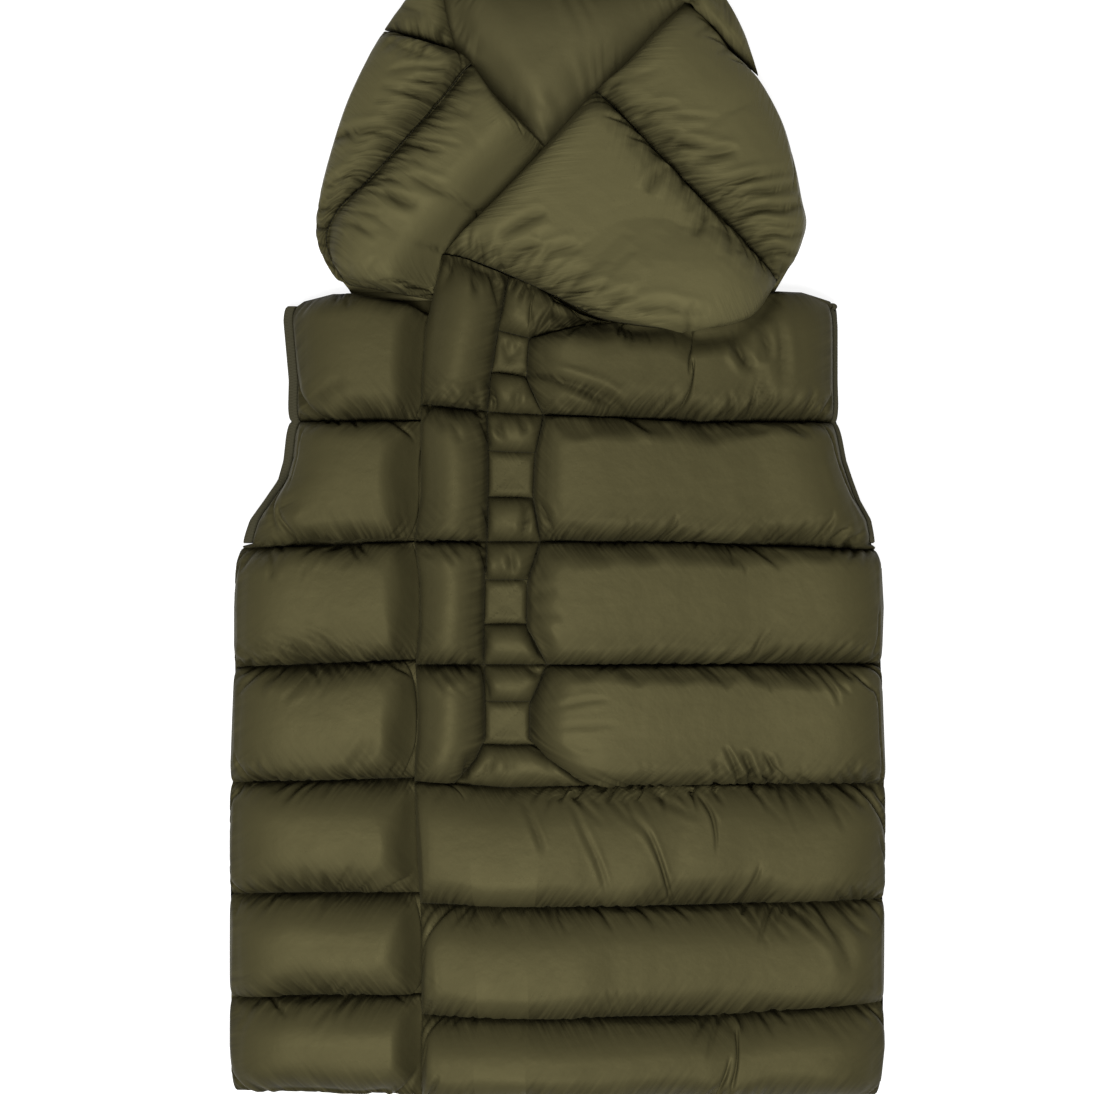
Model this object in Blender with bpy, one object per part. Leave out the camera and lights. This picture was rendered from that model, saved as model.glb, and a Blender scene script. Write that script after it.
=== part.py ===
"""Hooded puffer vest, closed and laid flat on its back.

The vest lies in the XY plane with its hem towards -Y, its hood towards +Y and
its outer side up. The origin is on the surface, under the middle of the
footprint. All tables are in millimetres, with Y counted up from the hem; MM
and FOOTPRINT_MIDDLE turn them into metres about the origin. Right and left
are the wearer's, so the right front is at -X.

Every piece is a padded wall: a plain inside and a quilted outside, worked out
from the seams that hold the padding down.
"""
from collections import namedtuple

import bmesh
import bpy
import numpy as np

MM = 0.001
FOOTPRINT_MIDDLE = np.array([-1.0, 543.5])

# Heights of the layers above the surface (mm).
BACK_INSIDE = 22.0        # lining side of the back panel
LAYER_GAP = 0.3           # air between pieces that touch
OVERLAP_INSIDE = 36.6     # inside of what lies over the right front and right hood
HOOD_INSIDE = 30.0        # lining side of the hood's back
HOOD_SKIRT_INSIDE = 58.0  # inside of the hood's lower edge, over the left front
SKIRT_TOP_Y = 774.0       # the skirt starts to lift here ...
SKIRT_EDGE_Y = 705.0      # ... and is fully lifted here
SKIRT_MARGIN = 14.0       # it holds the front down this far past its own edge
OVERLAP_RAMP_START = 12.0 # x where the left front starts to sink off the overlap
OVERLAP_RAMP_END = 170.0

# The padding (mm).
STITCHED = 3.0            # wall thickness along a stitched seam
BODY_LOFT = 42.0          # full thickness of a body row
HOOD_LOFT = 50.0
CROWN_LOFT = 44.0
PLACKET_LOFT = 20.0       # small puffs between the stitched squares
SQUARE_LOFT = 4.0         # the stitched squares themselves
EDGE_ROLL = 28.0          # how far from an edge the padding reaches full loft
PRESS_REACH = 38.0        # how far a covering layer holds the padding down
COVER_MARGIN = 1.5        # and it starts this far outside the covering edge
GATHER_PITCH = 40.0
GATHER_DEPTH = 7.0
GATHER_REACH = 22.0
GATHER_LEAN = 0.6         # gathers lean as they leave the seam
SEAM_NOTCH = 4.0          # each seam draws the side in by this much ...
NOTCH_REACH = 40.0        # ... and the cloth this far from the side with it

BINDING_THICKNESS = 4.0
RIGHT_BINDING_WIDTH = 9.0
LEFT_BINDING_WIDTH = 5.0
UNDERARM_Y = 508.0

# Sides of the laid body, from the hem to the shoulder tip.
Side = namedtuple("Side", "y right left")
SIDES = [
    Side(0, -298, 293), Side(46, -301, 298), Side(91, -301, 297),
    Side(186, -301, 298), Side(289, -301, 299), Side(395, -297, 295),
    Side(450, -297, 297), Side(505, -295, 294), Side(531, -286, 289),
    Side(549, -273, 279), Side(568, -260, 272), Side(586, -255, 266),
    Side(623, -251, 259), Side(660, -250, 258), Side(715, -255, 258),
    Side(745, -255, 258),
]

# The seams across the left (upper) front, top to bottom, and its hem.
LeftSeam = namedtuple("LeftSeam", "edge placket middle side")
LEFT_SEAM_X = LeftSeam(-127, -50, 130, 298)
LEFT_SEAMS = [
    LeftSeam(637, 629, 621, 621), LeftSeam(511, 511, 510, 503),
    LeftSeam(398, 398, 398, 398), LeftSeam(291, 285, 288, 288),
    LeftSeam(179, 176, 176, 181), LeftSeam(77, 74, 74, 86),
    LeftSeam(2, 0, 0, 4),
]

# The seams across the right (lower) front, and its hem.
RightSeam = namedtuple("RightSeam", "side edge")
RIGHT_SEAM_X = RightSeam(-300, -127)
RIGHT_SEAMS = [
    RightSeam(622, 622), RightSeam(505, 511), RightSeam(395, 402),
    RightSeam(289, 293), RightSeam(186, 188), RightSeam(91, 94),
    RightSeam(8, 5),
]
BACK_SEAMS = [622, 505, 396, 288, 184, 90, 5]

# Top edges of the body pieces, from the wearer's right to the left.
RIGHT_FRONT_TOP = [(-253, 724), (-239, 733), (-209, 740), (-190, 740), (-165, 735),
                   (-140, 730), (-109, 717), (-54, 696), (1, 685)]
LEFT_FRONT_TOP = [(-108, 774), (-86, 769), (-66, 761), (-49, 755), (-27, 747),
                  (-6, 735), (19, 720), (38, 714), (75, 717), (121, 727),
                  (167, 738), (201, 742), (223, 741), (257, 730)]
BACK_TOP = [(-253, 724), (-239, 733), (-209, 740), (-190, 741), (190, 741),
            (209, 741), (223, 741), (257, 730)]
RIGHT_FRONT_END_X = -10.0   # hidden front edge of the right front

# The front edge of the left front, and the two stitched lines of its placket.
Placket = namedtuple("Placket", "y edge first second")
PLACKET = [
    Placket(0, -126, -72, -27), Placket(150, -126, -72, -27),
    Placket(276, -132, -80, -12), Placket(289, -133, -96, 23),
    Placket(312, -132, -76, -9), Placket(330, -130, -68, -27),
    Placket(362, -129, -68, -27), Placket(398, -132, -69, -11),
    Placket(433, -128, -69, -30), Placket(475, -128, -68, -29),
    Placket(511, -133, -66, -17), Placket(552, -127, -65, -24),
    Placket(592, -127, -65, -22), Placket(626, -127, -66, -14),
    Placket(660, -126, -63, -30), Placket(705, -123, -56, -27),
    Placket(760, -110, -45, -22), Placket(790, -106, -40, -20),
]

# Where the stitched square lies in each of the top four rows, as shares of the row.
Square = namedtuple("Square", "top bottom")
SQUARES = [Square(0.42, 0.72), Square(0.30, 0.655), Square(0.31, 0.67), Square(0.30, 0.655)]
NO_SQUARE = Square(0.32, 0.66)

# Hood outlines and seams.
HOOD_SIDE_RIGHT = [(-161, 981), (-176, 954), (-194, 917), (-207, 880), (-217, 844),
                   (-223, 812), (-223, 790), (-215, 768), (-203, 753)]
HOOD_SIDE_LEFT = [(182, 937), (204, 899), (216, 862), (224, 825), (228, 803),
                  (221, 779), (212, 763)]
RIGHT_BAFFLE_SEAM = [(-80, 950), (-108, 914), (-150, 868), (-177, 838), (-201, 815),
                     (-212, 794), (-211, 776), (-203, 759), (-193, 747)]
LEFT_BAFFLE_SEAM = [(33, 924), (81, 874), (121, 832), (160, 794), (178, 774), (200, 749)]
RIGHT_CROWN_SEAM = [(-80, 950), (-94, 959), (-123, 967), (-161, 981)]
LEFT_CROWN_SEAM = [(117, 1009), (144, 979), (160, 958), (182, 937)]
OPENING_RIGHT = [(-80, 950), (-59, 920), (-29, 891), (-14.5, 875.5)]
OPENING_LEFT_LOWER = [(-107, 775), (-60, 824), (-13, 874), (33, 924)]
OPENING_LEFT_UPPER = [(33, 924), (61, 948), (88, 980), (117, 1009)]
OPENING_TOP = [(-94, 960.5), (-101, 986), (-107, 1009), (-97, 1024), (-60, 1034),
               (1, 1037), (60, 1034), (98, 1024), (118, 1011)]
CROWN_TOP = [(-161, 982.5), (-141, 1009), (-113, 1039), (-63, 1070), (1, 1087),
             (65, 1078), (119, 1048), (153, 1009), (171, 976), (184, 940)]
RIGHT_HOOD_FOOT = [(-193, 747), (-168, 743), (-142, 738), (-119, 734)]
RIGHT_HOOD_COVER = [(-14.5, 875.5), (-61.5, 825.5), (-109.5, 776), (-119, 734)]  # under here
RIGHT_HOOD_END = [(38, 825), (20, 790), (0, 755), (-17, 738)]
LEFT_HOOD_NECK = [(-107, 775), (-86, 770), (-49, 756), (-6, 736), (38, 714),
                  (93, 705), (112, 705)]
LEFT_HOOD_FOOT = [(112, 705), (140, 706), (164, 711), (182, 722), (200, 749)]
HOOD_BACK_SIDES = [
    Side(742.6, -193, 200), Side(765, -211, 213), Side(800, -222, 226),
    Side(850, -214, 217), Side(900, -199, 203), Side(950, -176, 175),
    Side(1000, -145, 156), Side(1040, -108, 125), Side(1065, -70, 89),
    Side(1080, -30, 58),
]

# The largest folds: a ridge (height over 0) or a trough (under 0) from one end
# to the other.
Fold = namedtuple("Fold", "x0 y0 x1 y1 height width")
LEFT_FRONT_FOLDS = [
    Fold(-27, 698, 36, 713, -24, 12),    # stitched foot of the collar stand
    Fold(-27, 664, 58, 625, -7, 12),
    Fold(-20, 552, 22, 512, -6, 11),
    Fold(160, 700, 200, 635, -6, 14),
    Fold(-8, 596, 30, 612, -5, 10),
    Fold(5, 262, 44, 192, -7, 12),
    Fold(84, 262, 104, 186, -6, 12),
    Fold(-60, 160, 20, 96, 4, 18),
    Fold(230, 600, 268, 540, -5, 14),
    Fold(0, 358, 40, 300, -5, 12),
]
RIGHT_FRONT_FOLDS = [
    Fold(-282, 520, -235, 575, -7, 12),
    Fold(-268, 510, -215, 545, -5, 12),
    Fold(-205, 290, -170, 330, -4, 12),
    Fold(-240, 620, -190, 660, -4, 14),
]
RIGHT_HOOD_UPPER_FOLDS = [Fold(-206, 873, -139, 884, -9, 12), Fold(-214, 836, -176, 842, -8, 11)]
RIGHT_HOOD_LOWER_FOLDS = [
    Fold(-150, 868, -120, 850, -8, 12),
    Fold(-204, 800, -150, 802, -7, 14),
    Fold(-84, 900, -70, 850, -5, 14),
]
LEFT_HOOD_LOWER_FOLDS = [
    Fold(-54, 756, -13, 802, -7, 14),
    Fold(-40, 756, 24, 775, -7, 14),
    Fold(-18, 742, 47, 752, -6, 13),
    Fold(127, 820, 123, 778, -6, 12),
    Fold(157, 792, 166, 756, -7, 12),
]
LEFT_HOOD_UPPER_FOLDS = [
    Fold(130, 818, 212, 830, -9, 13),
    Fold(148, 805, 222, 816, -7, 12),
    Fold(92, 880, 150, 888, -6, 13),
]

SHELL_COLOR = (0.088, 0.076, 0.034, 1.0)
HOOD_COLOR = (0.104, 0.092, 0.045, 1.0)
LINING_COLOR = (0.062, 0.054, 0.026, 1.0)
TAPE_COLOR = (0.070, 0.064, 0.036, 1.0)


# ---------------------------------------------------------------- curves

def read(table, value):
    """Height of a polyline of (x, y) points at x = value."""
    table = np.asarray(table, float)
    return np.interp(value, table[:, 0], table[:, 1])


def smooth_path(points, count):
    """Evenly spaced points along a rounded curve through the given ones."""
    points = np.asarray(points, float)
    before = 2 * points[0] - points[1]
    after = 2 * points[-1] - points[-2]
    knots = np.vstack([before, points, after])
    fine = []
    for a, b, c, d in zip(knots, knots[1:], knots[2:], knots[3:]):
        for t in np.linspace(0, 1, 12, endpoint=False):
            fine.append(0.5 * (2 * b + (c - a) * t + (2 * a - 5 * b + 4 * c - d) * t ** 2
                               + (3 * b - a - 3 * c + d) * t ** 3))
    fine = np.array(fine + [points[-1]])
    length = np.concatenate([[0], np.cumsum(np.linalg.norm(np.diff(fine, axis=0), axis=1))])
    wanted = np.linspace(0, length[-1], count)
    return np.column_stack([np.interp(wanted, length, fine[:, k]) for k in (0, 1)])


def nearest(points, line):
    """Distance from each point to a polyline, signed by side, and how far along."""
    points = np.asarray(points, float)
    line = np.asarray(line, float)
    best = np.full(len(points), np.inf)
    signed = np.zeros(len(points))
    along = np.zeros(len(points))
    start_length = 0.0
    for start, end in zip(line, line[1:]):
        run = end - start
        size = np.linalg.norm(run)
        share = np.clip((points - start) @ run / size ** 2, 0, 1)
        offset = points - start - share[:, None] * run
        distance = np.linalg.norm(offset, axis=1)
        closer = distance < best
        turn = run[0] * offset[:, 1] - run[1] * offset[:, 0]
        best[closer] = distance[closer]
        signed[closer] = np.where(turn < 0, -distance, distance)[closer]
        along[closer] = start_length + share[closer] * size
        start_length += size
    return signed, along


# ---------------------------------------------------------------- padding

def rise(share):
    """Quarter of an ellipse: 0 at the seam, steep at first, 1 from share = 1 on."""
    share = np.clip(share, 0, 1)
    return np.sqrt(1 - (1 - share) ** 2)


def row_profile(share):
    """A padded row from its upper seam (0) to its lower one (1), fullest below half."""
    share = np.clip(share, 0, 1) ** 1.2
    return (4 * share * (1 - share)) ** 0.45


def gathers(along, distance, seed, lean=GATHER_LEAN):
    """Ripples that run out of a gathered seam, uneven in depth."""
    turn = 2 * np.pi * (along + lean * distance) / GATHER_PITCH + 2.4 * seed
    uneven = 0.65 + 0.35 * np.sin(0.37 * turn + seed)
    return GATHER_DEPTH * uneven * np.cos(turn) * np.exp(-distance / GATHER_REACH)


def folded(points, height, folds):
    """Height of the padding with its large folds pressed in or raised."""
    for fold in folds:
        distance, along = nearest(points, [(fold.x0, fold.y0), (fold.x1, fold.y1)])
        soft = np.exp(-(distance / fold.width) ** 2)
        height = height + fold.height * soft * np.minimum(1, height / 15)
    return height


def press(height, limit, outside, loft):
    """Padding held down by a layer that covers it, out to some way past its edge."""
    room = limit + loft * rise(outside / PRESS_REACH)
    covered = outside < PRESS_REACH
    return np.where(covered, np.minimum(height, room), height)


# ---------------------------------------------------------------- solids

def material(name, color, roughness):
    """A cloth finish."""
    finish = bpy.data.materials.new(name)
    finish.use_nodes = True
    shader = finish.node_tree.nodes["Principled BSDF"]
    shader.inputs["Base Color"].default_value = color
    shader.inputs["Roughness"].default_value = roughness
    finish.diffuse_color = color
    return finish


def wall(name, plan, outside, inside, finish):
    """A closed wall over a grid of plan points, between two heights at each."""
    rows, columns = plan.shape[:2]
    mesh_data = bmesh.new()
    bmesh.ops.create_grid(mesh_data, x_segments=columns - 1, y_segments=rows - 1, size=1)
    place = mesh_data.verts.layers.int.new("place")
    for vertex in mesh_data.verts:
        column = round((vertex.co.x + 1) / 2 * (columns - 1))
        row = round((vertex.co.y + 1) / 2 * (rows - 1))
        vertex[place] = row * columns + column
    faces = list(mesh_data.faces)
    second = bmesh.ops.extrude_face_region(mesh_data, geom=faces, use_keep_orig=True)["geom"]
    second = {item for item in second if isinstance(item, bmesh.types.BMVert)}
    flat_plan = (plan.reshape(-1, 2) - FOOTPRINT_MIDDLE) * MM
    upper = np.asarray(outside, float).reshape(-1) * MM
    lower = np.asarray(inside, float).reshape(-1) * MM
    for vertex in mesh_data.verts:
        point = vertex[place]
        height = lower[point] if vertex in second else upper[point]
        vertex.co = (flat_plan[point][0], flat_plan[point][1], height)
    bmesh.ops.recalc_face_normals(mesh_data, faces=mesh_data.faces)
    if mesh_data.calc_volume(signed=True) < 0:
        bmesh.ops.reverse_faces(mesh_data, faces=mesh_data.faces)
    mesh = bpy.data.meshes.new(name)
    mesh_data.to_mesh(mesh)
    mesh_data.free()
    mesh.shade_smooth()
    mesh.set_sharp_from_angle(angle=np.radians(50))
    solid = bpy.data.objects.new(name, mesh)
    solid.data.materials.append(finish)
    bpy.data.collections["puffer_vest"].objects.link(solid)
    return solid


def drawn_in(plan, amount):
    """A grid whose rim is drawn in, to leave room for the pieces beside it."""
    plan = plan.copy()
    whole = plan.copy()
    for rim, inner in ((0, 1), (-1, -2)):
        step = whole[inner] - whole[rim]
        plan[rim] += amount * step / np.linalg.norm(step, axis=1)[:, None]
        step = whole[:, inner] - whole[:, rim]
        plan[:, rim] += amount * step / np.linalg.norm(step, axis=1)[:, None]
    return plan


# ---------------------------------------------------------------- body panels

def side_x(y, side, sides=SIDES):
    """X of the body's side at a height above the hem."""
    column = 1 if side == "right" else 2
    return np.interp(y, [row[0] for row in sides], [row[column] for row in sides])


def placket_x(y, line):
    """X of the front edge (1) or of a stitched line (2, 3) of the placket."""
    return np.interp(y, [row[0] for row in PLACKET], [row[line] for row in PLACKET])


def body_plan(seam_lines, shares, columns):
    """Grid points of a panel: rows between its seams, columns from its sides."""
    levels = [(k, share) for k in range(len(seam_lines) - 1) for share in shares[k]]
    levels.append((len(seam_lines) - 2, 1.0))
    plan = []
    for k, share in levels:
        y = np.full(len(columns(0.0)), read(seam_lines[k], 0.0))
        for _ in range(6):
            x = np.array([columns(height)[i] for i, height in enumerate(y)])
            y = (1 - share) * read(seam_lines[k], x) + share * read(seam_lines[k + 1], x)
        plan.append(np.column_stack([x, y]))
    return np.array(plan), levels


def notched(x, share, sides):
    """One line of columns, its sides drawn in where it is near a seam."""
    notch = SEAM_NOTCH * (1 - np.minimum(1, row_profile(share) * 1.15))
    for side in sides:
        rim, inward = (x[0], 1) if side == "right" else (x[-1], -1)
        x = x + inward * notch * np.clip(1 - np.abs(x - rim) / NOTCH_REACH, 0, 1)
    return x


def left_front():
    """The front that lies on top, with its rolled edge and stitched placket."""
    seams = [LEFT_FRONT_TOP]
    seams += [list(zip(LEFT_SEAM_X, seam)) for seam in LEFT_SEAMS]
    squares = SQUARES + [NO_SQUARE] * (len(seams) - 1 - len(SQUARES))
    shares = [(0, 0.05, q.top / 2, 0.8 * q.top, q.top, (q.top + q.bottom) / 2, q.bottom,
               q.bottom + 0.07, 0.85, 0.95) for q in squares[:len(SQUARES)]]
    shares += [(0, 0.05, 0.15, 0.31, 0.48, 0.66, 0.84, 0.95)] * (len(squares) - len(SQUARES))

    def columns(y):
        edge, first, second = (placket_x(y, line) for line in (1, 2, 3))
        side = side_x(y, "left") - (LEFT_BINDING_WIDTH + LAYER_GAP) * (y > UNDERARM_Y)
        left = [edge, edge + 1.5, edge + 6, edge + 14, edge + 27, first - 16, first - 6, first]
        between = [first + share * (second - first) for share in (0.15, 0.5, 0.85, 1)]
        right = [second + 6, second + 15, second + 28]
        spread = np.linspace(second + 42, side - 30, 19)
        rim = [side - 17, side - 8, side - 2.5, side]
        return np.concatenate([left, between, right, spread, rim])

    plan, levels = body_plan(seams, shares, columns)
    outside = np.zeros(plan.shape[:2])
    inside = np.zeros(plan.shape[:2])
    for i, (k, share) in enumerate(levels):
        plan[i, :, 0] = notched(plan[i, :, 0], share, ["left"])
        x, y = plan[i, :, 0], plan[i, :, 1]
        edge, first, second = (placket_x(y, line) for line in (1, 2, 3))
        loft = BODY_LOFT * row_profile(share) * np.ones(len(x))
        if k < len(SQUARES):
            loft = np.where(x < first, loft * rise((first - x) / 26), loft)
            loft = np.where(x > second, loft * (0.12 + 0.88 * rise((x - second) / 45)), loft)
            small = small_puffs(share, squares[k]) * rise((x - first) / 14)
            small = small * rise((second - x) / 14)
            loft = np.where((x >= first) & (x <= second), small, loft)
        loft = loft * rise((x - edge) / EDGE_ROLL) * rise((x[-1] - x) / EDGE_ROLL)
        ramp = np.clip((x - OVERLAP_RAMP_START) / (OVERLAP_RAMP_END - OVERLAP_RAMP_START), 0, 1)
        sunk = BACK_INSIDE + LAYER_GAP
        inside[i] = OVERLAP_INSIDE + (sunk - OVERLAP_INSIDE) * ramp
        row_height = read(seams[k], x) - read(seams[k + 1], x)
        to_seam = np.minimum(share, 1 - share) * row_height
        lean = GATHER_LEAN if share > 0.5 else -GATHER_LEAN
        ripple = gathers(x, to_seam, k + (share > 0.5) * 0.5, lean) * np.minimum(1, loft / 12)
        if k < len(SQUARES):
            ripple = np.where((x > first - 1) & (x < second + 1), 0, ripple)
        loft = folded(plan[i], loft + ripple, LEFT_FRONT_FOLDS)
        outside[i] = inside[i] + STITCHED + np.maximum(loft, 0)
        past_skirt = -nearest(plan[i], LEFT_HOOD_NECK[3:] + LEFT_HOOD_FOOT[1:])[0]
        skirt = hood_skirt(y) - 2 * LAYER_GAP
        covered = (x > LEFT_HOOD_NECK[3][0]) & (x < LEFT_HOOD_FOOT[-1][0])
        held = press(outside[i], skirt - STITCHED, past_skirt - SKIRT_MARGIN, BODY_LOFT)
        outside[i] = np.where(covered, np.maximum(held, inside[i] + STITCHED), outside[i])
    wall("front_left", plan, outside, inside, SHELL)
    binding("armhole_binding_left_front", plan[:, -1], BACK_INSIDE + LAYER_GAP,
            LEFT_BINDING_WIDTH)


def small_puffs(share, square):
    """Padding between the placket's stitched lines: puff, flat square, puff."""
    if share < square.top:
        return PLACKET_LOFT * row_profile(share / square.top)
    if share > square.bottom:
        return PLACKET_LOFT * row_profile((share - square.bottom) / (1 - square.bottom))
    inner = (share - square.top) / (square.bottom - square.top)
    return SQUARE_LOFT * row_profile(inner)


def right_front():
    """The front whose edge is hidden under the left one."""
    seams = [RIGHT_FRONT_TOP]
    seams += [list(zip(RIGHT_SEAM_X, seam)) for seam in RIGHT_SEAMS]
    shares = [(0, 0.05, 0.15, 0.30, 0.47, 0.65, 0.84, 0.95)] * (len(seams) - 1)

    def columns(y):
        side = side_x(y, "right") + (RIGHT_BINDING_WIDTH + LAYER_GAP) * (y > UNDERARM_Y)
        edge = placket_x(y, 1)
        rim = [side, side + 2.5, side + 8, side + 17]
        spread = np.linspace(side + 30, edge - 22, 8)
        hidden = [edge - 13, edge - 6, edge - COVER_MARGIN, edge + 50, RIGHT_FRONT_END_X - 14,
                  RIGHT_FRONT_END_X - 4, RIGHT_FRONT_END_X]
        return np.concatenate([rim, spread, hidden])

    plan, levels = body_plan(seams, shares, columns)
    base = BACK_INSIDE + LAYER_GAP
    outside = np.zeros(plan.shape[:2])
    for i, (k, share) in enumerate(levels):
        plan[i, :, 0] = notched(plan[i, :, 0], share, ["right"])
        x, y = plan[i, :, 0], plan[i, :, 1]
        loft = BODY_LOFT * row_profile(share)
        loft = loft * rise((x - x[0]) / EDGE_ROLL)
        loft = loft * rise((RIGHT_FRONT_END_X - x) / EDGE_ROLL)
        row_height = read(seams[k], x) - read(seams[k + 1], x)
        to_seam = np.minimum(share, 1 - share) * row_height
        ripple = gathers(x, to_seam, k + (share > 0.5) * 0.5 + 3) * np.minimum(1, loft / 12)
        loft = folded(plan[i], loft + ripple, RIGHT_FRONT_FOLDS)
        outside[i] = base + STITCHED + np.maximum(loft, 0)
        uncovered = placket_x(y, 1) - COVER_MARGIN - x
        outside[i] = press(outside[i], OVERLAP_INSIDE - LAYER_GAP, uncovered, BODY_LOFT)
    wall("front_right", plan, outside, np.full(outside.shape, base), SHELL)
    binding("armhole_binding_right_front", plan[:, 0], base, RIGHT_BINDING_WIDTH)


def back():
    """The back panel, flat where it lies, rounded up to the side seams."""
    seams = [BACK_TOP] + [[(-300, y), (300, y)] for y in BACK_SEAMS]
    shares = [(0, 0.03, 0.10, 0.22, 0.78, 0.94)] * (len(seams) - 1)

    def columns(y):
        trim = y > UNDERARM_Y
        right = side_x(y, "right") + (RIGHT_BINDING_WIDTH + LAYER_GAP) * trim
        left = side_x(y, "left") - (LEFT_BINDING_WIDTH + LAYER_GAP) * trim
        rim = np.array([0, 2, 7, 16, 30])
        return np.concatenate([right + rim, np.linspace(right + 90, left - 90, 4),
                               (left - rim)[::-1]])

    plan, levels = body_plan(seams, shares, columns)
    under = np.zeros(plan.shape[:2])
    for i, (k, share) in enumerate(levels):
        plan[i, :, 0] = notched(plan[i, :, 0], share, ["right", "left"])
        x = plan[i, :, 0]
        fullness = rise(min(1, min(share, 1 - share) * 6.5))
        ends = rise((x - x[0]) / 30) * rise((x[-1] - x) / 30)
        seam_lift = 7 if 0 < k or share > 0.5 else BACK_INSIDE - STITCHED
        if k == len(seams) - 2 and share > 0.5:
            seam_lift = BACK_INSIDE - STITCHED
        rim_lift = BACK_INSIDE - STITCHED
        under[i] = np.maximum(seam_lift * (1 - fullness), rim_lift * (1 - ends))
    wall("back_panel", plan, under, np.full(under.shape, BACK_INSIDE), SHELL)
    low = BACK_INSIDE - BINDING_THICKNESS
    binding("armhole_binding_right_back", plan[:, 0], low, RIGHT_BINDING_WIDTH)
    binding("armhole_binding_left_back", plan[:, -1], low, LEFT_BINDING_WIDTH)


def binding(name, rim, low, width):
    """One run of the tape that binds an armhole, beside the rim of its panel."""
    rim = rim[rim[:, 1] > UNDERARM_Y + 1]
    outward = np.array([np.sign(rim[0, 0]), 0.0])
    steps = LAYER_GAP + width * np.array([0, 0.3, 0.7, 1])
    plan = np.array([rim + step * outward for step in steps])
    swell = np.array([0.7, 1, 1, 0.35])[:, None] * np.ones(plan.shape[:2])
    top = low + BINDING_THICKNESS * swell
    wall(name, plan, top, np.full(top.shape, low), TAPE)


# ---------------------------------------------------------------- hood

def hood_skirt(y):
    """Inside of the left hood, which lifts where it lies over the left front."""
    share = np.clip((SKIRT_TOP_Y - y) / (SKIRT_TOP_Y - SKIRT_EDGE_Y), 0, 1)
    return OVERLAP_INSIDE + share * (HOOD_SKIRT_INSIDE - OVERLAP_INSIDE)


def patch(first, last, start, end, along, across):
    """Grid between two long curves (first, last) and two short ones (start, end)."""
    first, last = smooth_path(first, along), smooth_path(last, along)
    start, end = smooth_path(start, across), smooth_path(end, across)
    grid = np.zeros((across, along, 2))
    for j, t in enumerate(np.linspace(0, 1, across)):
        for i, s in enumerate(np.linspace(0, 1, along)):
            ruled = (1 - t) * first[i] + t * last[i] + (1 - s) * start[j] + s * end[j]
            corners = ((1 - t) * ((1 - s) * first[0] + s * first[-1])
                       + t * ((1 - s) * last[0] + s * last[-1]))
            grid[j, i] = ruled - corners
    return grid


def baffle_loft(plan, loft, rims, folds):
    """Padding of a hood baffle: rims are (curve, reach, gathered) round it."""
    points = plan.reshape(-1, 2)
    height = np.full(len(points), loft)
    ripple = np.zeros(len(points))
    for number, (curve, reach, gathered) in enumerate(rims):
        distance, along = nearest(points, smooth_path(curve, 60))
        distance = np.abs(distance)
        height = height * rise(distance / reach)
        if gathered:
            ripple += gathers(along, distance, number)
    height = height + ripple * np.minimum(1, height / 12)
    height = np.maximum(folded(points, height, folds), 0)
    return height.reshape(plan.shape[:2])


def right_hood():
    """The baffles of the hood's right side, whose end passes under the left."""
    inside = HOOD_INSIDE + LAYER_GAP
    upper = patch(RIGHT_BAFFLE_SEAM, HOOD_SIDE_RIGHT, RIGHT_CROWN_SEAM,
                  [RIGHT_BAFFLE_SEAM[-1], HOOD_SIDE_RIGHT[-1]], 24, 9)
    upper = drawn_in(upper, LAYER_GAP)
    rims = [(RIGHT_BAFFLE_SEAM, 34, True), (HOOD_SIDE_RIGHT, 30, False),
            (RIGHT_CROWN_SEAM, 26, True)]
    loft = baffle_loft(upper, HOOD_LOFT, rims, RIGHT_HOOD_UPPER_FOLDS)
    wall("hood_upper_right", upper, inside + STITCHED + loft, np.full(loft.shape, inside), HOOD)

    shown = patch(RIGHT_BAFFLE_SEAM, RIGHT_HOOD_COVER, OPENING_RIGHT, RIGHT_HOOD_FOOT, 24, 15)
    hidden = patch(RIGHT_HOOD_COVER, RIGHT_HOOD_END, [RIGHT_HOOD_COVER[0], RIGHT_HOOD_END[0]],
                   [RIGHT_HOOD_COVER[-1], RIGHT_HOOD_END[-1]], 24, 4)
    lower = drawn_in(np.concatenate([shown, hidden[1:]]), LAYER_GAP)
    rims = [(RIGHT_BAFFLE_SEAM, 48, True), (OPENING_RIGHT, 30, False),
            (RIGHT_HOOD_FOOT, 34, True), (RIGHT_HOOD_END, 20, False)]
    loft = baffle_loft(lower, HOOD_LOFT, rims, RIGHT_HOOD_LOWER_FOLDS)
    top = inside + STITCHED + loft
    uncovered = nearest(lower.reshape(-1, 2), smooth_path(RIGHT_HOOD_COVER[::-1], 24))[0]
    uncovered = uncovered.reshape(top.shape)
    uncovered[len(shown) - 1:] = -1.0
    top = press(top, OVERLAP_INSIDE - LAYER_GAP, uncovered, HOOD_LOFT)
    wall("hood_lower_right", lower, top, np.full(top.shape, inside), HOOD)


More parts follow.
